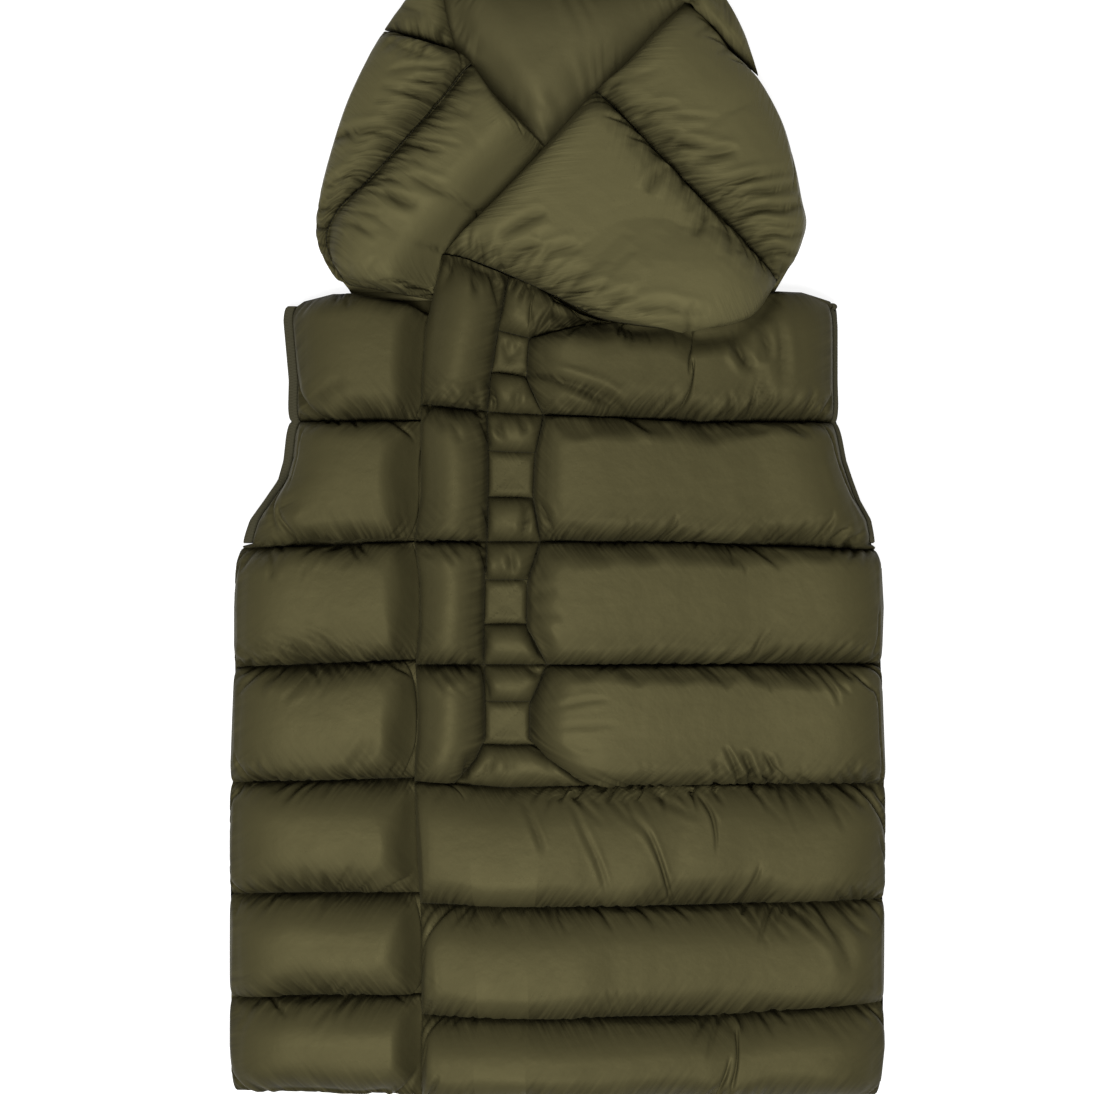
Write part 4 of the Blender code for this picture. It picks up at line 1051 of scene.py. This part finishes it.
# Widths of the bands of columns that a panel's grid has: the left front's rolled edge,
# placket and the rest, the right front's shown and hidden parts, and the back.
LEFT_BANDS = (59, 41, 322)
RIGHT_SHOWN, RIGHT_HIDDEN = 172, 120
BACK_WIDTH = 600

HELD_BY_HOOD = 14.0         # the hood holds a front down to this far below its foot,
FREE_OF_HOOD = 30.0         # and lets it free over this much more

# How uneven the fullness gathered into seams is, and the knots of such fields.
BROAD_FULLNESS, FINE_FULLNESS = 1.3, 0.3
BODY_LEAST_FULLNESS, HOOD_LEAST_FULLNESS = 0.15, 0.25
BODY_BROAD_KNOTS, BODY_FINE_KNOTS, BODY_LEAN_KNOTS = (22, 20), (22, 45), (15, 9)
HOOD_BROAD_KNOTS, HOOD_LEAN_KNOTS = (14, 14), (6, 6)
LINING_KNOTS, LINING_LEAN_KNOTS = (9, 11), (7, 7)


def slack_beside(distance):
    """How much of a seam's fullness is left at a distance from it."""
    return np.exp(-(distance / SLACK_REACH) ** SLACK_POWER)


def front_seams(tops, places, seams):
    """A front's seam lines, from its neck to its hem, which stands proud."""
    lines = tops + [list(zip(places, seam)) for seam in seams]
    return lines[:-1] + [[(x, y - HEM_PROUD) for x, y in lines[-1]]]


def panel_side(y, side, proud=0.0):
    """X of a panel's side; above the underarm it leaves room for the armhole's tape."""
    outward, tape = (-1, RIGHT_BINDING_WIDTH) if side == "right" else (1, LEFT_BINDING_WIDTH)
    return (column_at(SIDES, y, side) + outward * proud
            - outward * (tape + LAYER_GAP) * (y > UNDERARM_Y))


def under_cover(distance, freed):
    """How high a layer may stand at a distance from the edge of the one that covers it."""
    return OVERLAP_INSIDE - LAYER_GAP + freed * eased(distance / COVER_REACH)


def settled_panel(start, pinned, seam_rows, drawn, floor, ceiling, dice, outward=1, easing=1.0):
    """A body panel's outer cloth, gathered into its seams as fully as easing says."""
    plan = start[..., :2]
    shape = plan.shape[:2]
    from_seam = distance_along(plan, seam_masks(shape, seam_rows)[0], 0)
    from_line = distance_along(plan, pinned, 1)
    fullness = (BODY_LEAST_FULLNESS
                + BROAD_FULLNESS * uneven(shape, BODY_BROAD_KNOTS, dice) ** 2
                + FINE_FULLNESS * uneven(shape, BODY_FINE_KNOTS, dice)) * easing
    slack_x = BASE_SLACK + SEAM_SLACK * fullness * slack_beside(from_seam)
    slack_y = BASE_SLACK + SEAM_SLACK * fullness * np.exp(-from_line / SLACK_REACH)
    lean = leaning(shape, BODY_LEAN_KNOTS, dice) * easing
    return settle(start, pinned, slack_x + CREASE_SLACK * drawn, slack_y, lean, drawn, floor,
                  ceiling, outward, dice)


def panel_shell(node, outer, inner, across, down, free_rim, drawn, lean=0.0, easing=1.0):
    """Make a body panel's piece; no painted shade is put beside its free rim."""
    plan = inner[..., :2]
    piece = closed_wall(node + "_shell", outer, inner, SHELL, INNER_STEP)
    # painted shade goes beside these seams, and not beside the free rim
    gathered = down.copy()
    gathered[:, free_rim] = False
    sew(piece, plan, across, down, (across, gathered), drawn, BODY_PUCKER._replace(lean=lean),
        easing)
    hand_over(piece, [node])


def left_front():
    """The front that lies on top, with its rolled edge and stitched placket."""
    dice = np.random.default_rng(SEEDS["front_left"])
    seams = front_seams([LEFT_FRONT_TOP, COLLAR_FOOT], LEFT_SEAM_X, LEFT_SEAMS)
    stops = [(0, 1)] + [sorted({0, square.top, square.bottom, 1}) for square in SQUARES]
    stops += [(0, 1)] * (len(seams) - 1 - len(stops))
    bands = [graded(width, FRONT_CELL_ACROSS) for width in LEFT_BANDS]
    first, second = len(bands[0]) - 1, len(bands[0]) + len(bands[1]) - 2
    place = np.concatenate([bands[0][:-1], 1 + bands[1][:-1], 2 + bands[2]])

    def across(y):
        lines = [column_at(PLACKET, y, line) for line in ("edge", "first", "second")]
        lines.append(panel_side(y, "left", side_proud(y)))
        x = lines[0]
        for k in range(len(bands)):
            x = x + (lines[k + 1] - lines[k]) * np.clip(place - k, 0, 1)
        return x

    plan, levels = body_grid(seams, stops, across, FRONT_CELL, ["left"])
    upper, lower = node_heights("front_left", plan)
    lines = seam_lines(levels)
    foot, placket_end = lines[1], lines[1 + len(SQUARES)]
    seam_rows = lines[:1] + lines[2:]
    meet = int(np.searchsorted(plan[foot, :, 0], COLLAR_END_X))
    base = lower + STITCHED
    target = base.copy()

    def fill(top, low, start, end, form):
        rows, columns = slice(top, low + 1), slice(start, end + 1)
        target[rows, columns] = filled(plan, upper, base, rows, columns, form)

    last = plan.shape[1] - 1
    across_seams, down_seams = seam_masks(upper.shape, seam_rows)
    across_seams[foot, first:meet + 1] = True
    down_seams[:placket_end + 1, first] = True
    down_seams[foot:placket_end + 1, second] = True
    fill(0, lines[2], second, last, TOP_ROW._replace(start=PLACKET_FILL))
    open_row = target.copy()
    fill(0, lines[2], 0, first, NECK_EDGE_FILL)
    fill(0, foot, first, meet, COLLAR_FILL)
    fill(foot, lines[2], second, meet, BELOW_COLLAR_FILL)
    share = eased((COLLAR_END_X - plan[..., 0]) / COLLAR_FADE)
    target[:, second:] = (open_row + share * (target - open_row))[:, second:]
    sewn = []
    for k, square in enumerate(SQUARES):
        top, low = lines[k + 1], lines[k + 2]
        cuts = [i for i, (row, share) in enumerate(levels)
                if row == k + 1 and share in (square.top, square.bottom)]
        sewn += cuts
        for a, b in zip(sorted({top, *cuts}), sorted({*cuts, low} - {top})):
            fill(a, b, first, second, SQUARE_FILL if a in cuts and b in cuts else PUFF_FILL)
        if k:
            fill(top, low, 0, first, ROW_FILLS[k]._replace(end=EDGE_FILL))
            fill(top, low, second, last, ROW_FILLS[k]._replace(start=PLACKET_FILL))
    for k in range(len(SQUARES), len(ROW_FILLS)):
        fill(lines[k + 1], lines[k + 2], 0, last, ROW_FILLS[k])
    base[0, :meet] = target[0, :meet]
    for i in sewn:
        across_seams[i, first:second + 1] = True
    pinned = across_seams | down_seams
    below = read(HOOD_OVER_FRONT, plan[..., 0]) - HELD_BY_HOOD - plan[..., 1]
    clear = np.clip(below / FREE_OF_HOOD, 0, 1)
    clear[(plan[..., 0] < HOOD_OVER_FRONT[0][0]) | (plan[..., 0] > HOOD_OVER_FRONT[-1][0])] = 1
    start, drawn, ceiling = creased(plan, pinned, base, target, upper + PROUD * clear,
                                    LEFT_FRONT_CREASES, row_gathers(seams, LEFT_FRONT_RUNS, dice))
    easing = np.ones(plan.shape[1])
    easing[first:second + 1] = PLACKET_EASING
    outer = settled_panel(start, pinned, seam_rows, drawn, lower + STITCHED, ceiling, dice,
                          easing=easing)
    panel_shell("front_left", outer, np.dstack([plan, lower]), across_seams, down_seams, [0],
                drawn, -SLANT, easing)
    beside = seam_rows[1:len(SQUARES) + 1]
    placket = [outer[i, :second + 1] + LIFT_OUT for i in beside]
    lines = [outer[i] for i in seam_rows[len(SQUARES) + 1:-1]]
    lines += [outer[i, second:] for i in beside]
    lines += [outer[foot, first:meet + 1]]
    lines += [outer[i, first:second + 1] for i in sewn if i != foot]
    lines += [outer[:placket_end, first], outer[foot:placket_end, second]]
    stitches("front_left_stitching", lines)
    stitches("placket_stitching", placket, zigzag=ZIGZAG)
    bind_armhole("left_front", outer[:, -1], BACK_INSIDE + LAYER_GAP, LEFT_BINDING_WIDTH)


def right_front():
    """The front whose edge is hidden under the left one."""
    dice = np.random.default_rng(SEEDS["front_right"])
    seams = front_seams([RIGHT_FRONT_TOP], RIGHT_SEAM_X, RIGHT_SEAMS)
    shown = graded(RIGHT_SHOWN, FRONT_CELL_ACROSS)
    hidden = np.linspace(0, 1, round(RIGHT_HIDDEN / HIDDEN_CELL))
    place = np.concatenate([shown[:-1], 1 + hidden])

    def cover(y):
        return column_at(PLACKET, y, "edge") - COVER_MARGIN

    def across(y):
        side, edge = panel_side(y, "right", side_proud(y)), cover(y)
        return (side + (edge - side) * np.clip(place, 0, 1)
                + (RIGHT_FRONT_END_X - edge) * np.clip(place - 1, 0, 1))

    plan, levels = body_grid(seams, [(0, 1)] * (len(seams) - 1), across, FRONT_CELL, ["right"])
    upper, lower = node_heights("front_right", plan)
    seam_rows = seam_lines(levels)
    across_seams, down_seams = seam_masks(upper.shape, seam_rows)
    pinned = across_seams | down_seams
    held = under_cover(cover(plan[..., 1]) - plan[..., 0], FRONT_FREED)
    base = lower + STITCHED
    target = base.copy()
    for top, low, form in zip(seam_rows, seam_rows[1:], UNDER_FILLS):
        rows = slice(top, low + 1)
        target[rows] = filled(plan, upper, base, rows, ALL, form)
    start, drawn, ceiling = creased(plan, pinned, base, target, np.minimum(held, upper + PROUD),
                                    RIGHT_FRONT_CREASES,
                                    row_gathers(seams, RIGHT_FRONT_RUNS, dice))
    outer = settled_panel(start, pinned, seam_rows, drawn, lower + STITCHED, ceiling, dice)
    panel_shell("front_right", outer, np.dstack([plan, lower]), across_seams, down_seams, [-1],
                drawn, SLANT)
    stitches("front_right_stitching", [outer[i, :len(shown)] for i in seam_rows[1:-1]])
    bind_armhole("right_front", outer[:, 0], BACK_INSIDE + LAYER_GAP, RIGHT_BINDING_WIDTH)


def back_panel():
    """The back panel, flat where it lies, quilted on its under side."""
    dice = np.random.default_rng(SEEDS["back_panel"])
    side = BACK_WIDTH / 2
    seams = [BACK_TOP] + [[(-side, y), (side, y)] for y in BACK_SEAMS]

    def across(y):
        right, left = panel_side(y, "right"), panel_side(y, "left")
        return right + (left - right) * np.linspace(0, 1, round(BACK_WIDTH / BACK_CELL))

    plan, levels = body_grid(seams, [(0, 1)] * (len(seams) - 1), across, BACK_CELL,
                             ["right", "left"])
    upper, lower = node_heights("back_panel", plan)
    seam_rows = seam_lines(levels)
    across_seams, down_seams = seam_masks(upper.shape, seam_rows)
    most = np.full(upper.shape, BACK_INSIDE - STITCHED)
    start = np.dstack([plan, np.where(np.logical_or(*seam_masks(upper.shape)), most, lower)])
    drawn = np.clip(drawn_down(plan, row_gathers(seams, BACK_RUNS, dice), True), 0, DEEPEST)
    outer = settled_panel(start, across_seams | down_seams, seam_rows, drawn,
                          np.zeros(upper.shape), most, dice, outward=-1)
    panel_shell("back_panel", outer, np.dstack([plan, np.full(upper.shape, BACK_INSIDE)]),
                across_seams, down_seams, [], drawn)
    stitches("back_panel_stitching", [outer[i] for i in seam_rows[1:-1]], -1)
    low = BACK_INSIDE - BINDING_THICKNESS
    bind_armhole("right_back", outer[:, 0], low, RIGHT_BINDING_WIDTH)
    bind_armhole("left_back", outer[:, -1], low, LEFT_BINDING_WIDTH)


# ---------------- hood

# A hood baffle: its rims (the first and last rows of its grid, the first and last
# columns), how far its filling takes to rise from each, which of them are gathered
# seams and how high each stands, as a share of the baffle's height, its creases and
# gathers, and how its puckers lean. hidden is the far rim of an end that goes on under
# the baffle beyond its last row.
Baffle = namedtuple("Baffle", "node first last start end reach gathered creases fans lean "
                    "hidden", defaults=[0.0, None])
LEFT_HOOD_RIM = LEFT_CROWN_SEAM[:-1] + HOOD_SIDE_LEFT
BAFFLES = table(
    Baffle,
    ("hood_upper_right", RIGHT_BAFFLE_SEAM, HOOD_SIDE_RIGHT, RIGHT_CROWN_SEAM,
     [RIGHT_BAFFLE_SEAM[-1], HOOD_SIDE_RIGHT[-1]], (20, 42, 16, 18),
     {"first": 0.72, "start": 0.6}, RIGHT_HOOD_UPPER_CREASES, RIGHT_HOOD_UPPER_FANS, -0.55),
    ("hood_lower_right", RIGHT_BAFFLE_SEAM, RIGHT_HOOD_COVER, OPENING_RIGHT, RIGHT_HOOD_FOOT,
     (20, 0, 16, 26), {"first": 0.72, "end": 0.1}, RIGHT_HOOD_LOWER_CREASES,
     RIGHT_HOOD_LOWER_FANS, 0.4, RIGHT_HOOD_END),
    ("hood_lower_left", OPENING_LEFT_LOWER, LEFT_HOOD_FOOT, LEFT_HOOD_NECK, LEFT_BAFFLE_SEAM,
     (20, 40, 30, 22), {"start": 0.4, "end": 0.74}, LEFT_HOOD_LOWER_CREASES,
     LEFT_HOOD_LOWER_FANS, -0.75),
    ("hood_upper_left", LEFT_BAFFLE_SEAM, LEFT_HOOD_RIM, OPENING_LEFT_UPPER,
     [LEFT_BAFFLE_SEAM[-1], HOOD_SIDE_LEFT[-1]], (22, 46, 18, 16), {"first": 0.76},
     LEFT_HOOD_UPPER_CREASES, LEFT_HOOD_UPPER_FANS, -0.9),
    ("hood_crown", OPENING_TOP, CROWN_TOP, CROWN_START, CROWN_END, (16, 36, 18, 20),
     {"start": 0.5, "end": 0}, CROWN_CREASES, CROWN_FANS))
HIDDEN_END_WIDTH = 100
HOOD_BACK_SIZE = (337, 440)     # down and across
LINING_SINK = 1.0               # how far the lining may sink below the hood's inside
LINING_LEAST_LOOSE = 0.3


def settled_baffle(baffle):
    """A hood baffle's outer cloth."""
    dice = np.random.default_rng(SEEDS[baffle.node])
    along = cells(baffle.first, baffle.last)
    plan = patch(baffle.first, baffle.last, baffle.start, baffle.end, along,
                 cells(baffle.start, baffle.end))
    shown = len(plan)
    if baffle.hidden:
        ends = ([baffle.last[i], baffle.hidden[i]] for i in (0, -1))
        places = np.linspace(0, 1, round(HIDDEN_END_WIDTH / HIDDEN_CELL))
        plan = np.concatenate([plan, patch(baffle.last, baffle.hidden, *ends, along, places)[1:]])
    plan = drawn_in(plan)
    upper, lower = node_heights(baffle.node, plan)
    shape = upper.shape
    across_rims, down_rims = seam_masks(shape)
    pinned = across_rims | down_rims
    lifted, covered = np.zeros((2,) + shape, bool)
    most = upper + PROUD
    if baffle.hidden:
        covered[shown - 1:] = True
        most = np.minimum(most, under_cover(distance_along(plan, covered, 0), HOOD_FREED))
    base = lower + STITCHED
    rims = {"first": (0, ALL), "last": (-1, ALL), "start": (ALL, 0), "end": (ALL, -1)}
    slack = [np.full(shape, BASE_SLACK) for _ in range(2)]
    rise = np.ones(shape)
    for rim, reach in zip(rims, baffle.reach):
        marked = np.zeros(shape, bool)
        marked[rims[rim]] = True
        axis = 0 if rim in ("first", "last") else 1
        distance = distance_along(plan, marked, axis)
        foot = baffle.gathered.get(rim, 0)
        rise *= foot + (1 - foot) * rounded(distance, reach)
        if rim in baffle.gathered:
            lifted |= marked
            fullness = (HOOD_LEAST_FULLNESS
                        + BROAD_FULLNESS * uneven(shape, HOOD_BROAD_KNOTS, dice) ** 2)
            slack[axis] += SEAM_SLACK * fullness * slack_beside(distance)
    target = base + FULLNESS * (broad_top(upper, HOOD_TOP_REACH) - base) * rise
    base = np.where(lifted, target, base)
    start, drawn, ceiling = creased(plan, pinned, base, target, most, baffle.creases,
                                    fan_gathers(baffle.fans, dice))
    slack_x, slack_y = (surplus + CREASE_SLACK * drawn for surplus in slack)
    outer = settle(start, pinned, slack_x, slack_y, leaning(shape, HOOD_LEAN_KNOTS, dice), drawn,
                   base, ceiling, 1, dice)
    piece = closed_wall(baffle.node + "_shell", outer, np.dstack([plan, lower]), HOOD, INNER_STEP)
    # painted shade beside the gathered rims
    sew(piece, plan, across_rims, down_rims, (lifted & across_rims, lifted & down_rims), drawn,
        HOOD_PUCKER._replace(lean=baffle.lean))
    hand_over(piece, [baffle.node])
    return outer


def hood_front():
    """The hood's baffles, of which the left ones lie over the throat, and their seams."""
    right_upper, right_lower, left_lower, left_upper, crown = BAFFLES
    settled_baffle(right_upper)
    outer = settled_baffle(right_lower)
    stitches("hood_right_stitching", [outer[0] + LIFT_OUT], zigzag=ZIGZAG)
    outer = settled_baffle(left_lower)
    settled_baffle(left_upper)
    stitches("hood_left_stitching", [outer[:, -1] + LIFT_OUT, outer[:, 0] + LIFT_OUT],
             zigzag=ZIGZAG)
    settled_baffle(crown)


def hood_back():
    """The back of the hood, quilted under, with its lining up and showing in the face."""
    dice = np.random.default_rng(SEEDS["hood_back"])
    down, across = (round(size / LINING_CELL) for size in HOOD_BACK_SIZE)
    heights = np.linspace(HOOD_BACK_SIDES[0].y, HOOD_BACK_SIDES[-1].y, down)[:, None]
    right, left = (column_at(HOOD_BACK_SIDES, heights, side) for side in ("right", "left"))
    plan = np.dstack([right + (left - right) * np.linspace(0, 1, across),
                      heights * np.ones(across)])
    _, lower = node_heights("hood_back", plan)
    shape = lower.shape
    opening = OPENING_RIGHT[::-1] + OPENING_TOP + OPENING_LEFT_UPPER[::-1][1:]
    shown = inside_outline(plan, opening)
    depth = np.minimum(distance_along(plan, ~shown, 0), distance_along(plan, ~shown, 1))
    swell = LINING_SWELL * eased(depth / LINING_SWELL_REACH)
    slot = SLOT_DEPTH * eased((SLOT_TOP - plan[..., 1]) / SLOT_DEPTH)
    start = np.dstack([plan, HOOD_INSIDE + swell - slot])
    drawn = np.clip(drawn_down(plan, LINING_CREASES, False), 0, DEEPEST)
    loose = LINING_SLACK * shown * (LINING_LEAST_LOOSE + uneven(shape, LINING_KNOTS, dice))
    lean = leaning(shape, LINING_LEAN_KNOTS, dice)
    top = settle(start, ~shown, loose + CREASE_SLACK * drawn, 0.5 * loose, lean, drawn,
                 HOOD_INSIDE - LINING_SINK - slot, HOOD_INSIDE + LINING_RISE * swell, 1, dice)
    held = np.logical_or(*seam_masks(shape)) | (plan[..., 1] < HOOD_BACK_SIDES[1].y)
    most = np.full(shape, HOOD_INSIDE - STITCHED)
    under = np.dstack([plan, np.where(held, most, lower)])
    drawn = np.clip(drawn_down(plan, fan_gathers(HOOD_BACK_FANS, dice), False), 0, DEEPEST)
    slack = np.full(shape, 2 * BASE_SLACK)
    bottom = settle(under, held, slack + CREASE_SLACK * drawn, slack, lean, drawn,
                    np.zeros(shape), most, -1, dice)
    piece = closed_wall("hood_back_lining", top, bottom, LINING, 1)
    hand_over(piece, ["hood_back"])


# ---------------- trim

def stitches(name, lines, side=1, zigzag=0.0):
    """A row of thread stitches along each line of seam points, straight or zigzag."""
    points, faces = [], []
    turns = np.radians(np.arange(STITCH_SIDES) * 360 / STITCH_SIDES)
    for line in lines:
        size = np.linalg.norm(np.diff(line, axis=0), axis=1).sum()
        places = points_at(line, np.linspace(0, 1, int(size / STITCH_PITCH) + 1))
        beside = np.gradient(places[:, :2], axis=0)[:, ::-1] * (1, -1)
        beside /= np.linalg.norm(beside, axis=1)[:, None]
        places[:, :2] += zigzag * beside * (-1) ** np.arange(len(places))[:, None]
        for a, b in zip(places, places[1:]):
            way = (b - a) / np.linalg.norm(b - a)
            across = np.cross(way, (0, 0, 1.0))
            across /= np.linalg.norm(across)
            lift = np.cross(across, way)
            middle = (a + b) / 2 + lift * side * STITCH_RADIUS
            base = len(points)
            for along, wide in STITCH_PROFILE:
                for turn in turns if wide else [0.0]:
                    points.append(middle + way * along * STITCH_LENGTH + wide * STITCH_RADIUS * (
                        across * np.cos(turn) + lift * np.sin(turn)))
            first, last = base + 1 + np.arange(2 * STITCH_SIDES).reshape(2, -1)
            for k in range(STITCH_SIDES):
                after = (k + 1) % STITCH_SIDES
                faces += [[base, first[after], first[k]],
                          [first[k], first[after], last[after], last[k]],
                          [last[k], last[after], last[-1] + 1]]
    hand_over(mesh_object(name, points, faces, THREAD))


def bind_armhole(place, rim, low, width):
    """The ribbed tape that binds one side of an armhole, beside the rim of its panel."""
    rim = rim[rim[:, 1] > UNDERARM_Y + TAPE_START]
    size = np.linalg.norm(np.diff(rim[:, :2], axis=0), axis=1).sum()
    line = points_at(rim[:, :2], np.linspace(0, 1, int(size / TAPE_STEP)))
    outward = np.sign(rim[0, 0])
    along = np.linspace(0, size, len(line))[:, None]
    share = np.linspace(0, 1, TAPE_COLUMNS)[None, :]
    plan = np.dstack([line[:, :1] + outward * (LAYER_GAP + width * share),
                      line[:, 1:] + 0 * share])
    rows = np.where(share < 0.5, 0, 0.5)
    ribs = RIB_DEPTH * np.abs(np.sin(np.pi * (along / RIB_PITCH + rows)))
    top = low + BINDING_THICKNESS * read(TAPE_PROFILE, share) - RIB_DEPTH + ribs
    piece = closed_wall("armhole_tape_" + place, np.dstack([plan, top]),
                        np.dstack([plan, np.full(top.shape, low)]), TAPE, TAPE_INNER_STEP)
    hand_over(piece, ["armhole_binding_" + place])


# ---------------- stage

def studio():
    """A plain pale floor, soft light from the foot of the picture, and the camera."""
    bpy.ops.mesh.primitive_plane_add(size=FLOOR_SIZE)
    floor = bpy.context.object
    floor.name = "studio_floor"
    floor.location.z = -FLOOR_GAP
    floor.data.materials.append(plain_cloth(
        "studio_paper", (0.35, 0.35, 0.35), 0.9, 20,
        {"Emission Color": (1, 1, 1, 1), "Emission Strength": PAPER_GLOW}))

    scene = bpy.context.scene
    scene.world = bpy.data.worlds.new("studio")
    scene.world.use_nodes = True
    feed(scene.world.node_tree, scene.world.node_tree.nodes["Background"],
         {"Color": (1, 1, 1, 1), "Strength": WORLD_LIGHT})
    scene.view_settings.view_transform = "Standard"
    for lamp in LAMPS:
        light = bpy.data.lights.new(lamp.name, "AREA")
        light.size = lamp.size
        light.energy = lamp.power
        stand = bpy.data.objects.new(lamp.name, light)
        stand.location = lamp.place
        stand.rotation_euler = (LIT_POINT - stand.location).to_track_quat("-Z", "Y").to_euler()
        scene.collection.objects.link(stand)

    camera = bpy.data.cameras.new("camera")
    camera.lens = LENS
    camera.sensor_width = SENSOR
    eye = bpy.data.objects.new("camera", camera)
    eye.location = (*FRAME_MIDDLE, FRAME_HEIGHT + FRAME_WIDTH * LENS / SENSOR)
    scene.collection.objects.link(eye)
    scene.camera = eye


SHELL = nylon("shell_nylon", (0.0358, 0.0316, 0.0138), 0.52)
# painted light: the shell's olive made lighter, standing in for the brighter light on the hood
HOOD = nylon("hood_nylon", (0.0632, 0.0565, 0.0251), 0.58)
# painted light: the shell's olive made lighter, standing in for the light on the lining in the
# hood's face
LINING = nylon("lining_nylon", (0.0513, 0.0457, 0.0209), 0.55)
TAPE = plain_cloth("binding_tape", (0.033, 0.030, 0.0155), 0.8, 900)
THREAD = plain_cloth("thread", (0.012, 0.011, 0.006), 0.8, 1500)

studio()
left_front()
right_front()
back_panel()
hood_back()
hood_front()
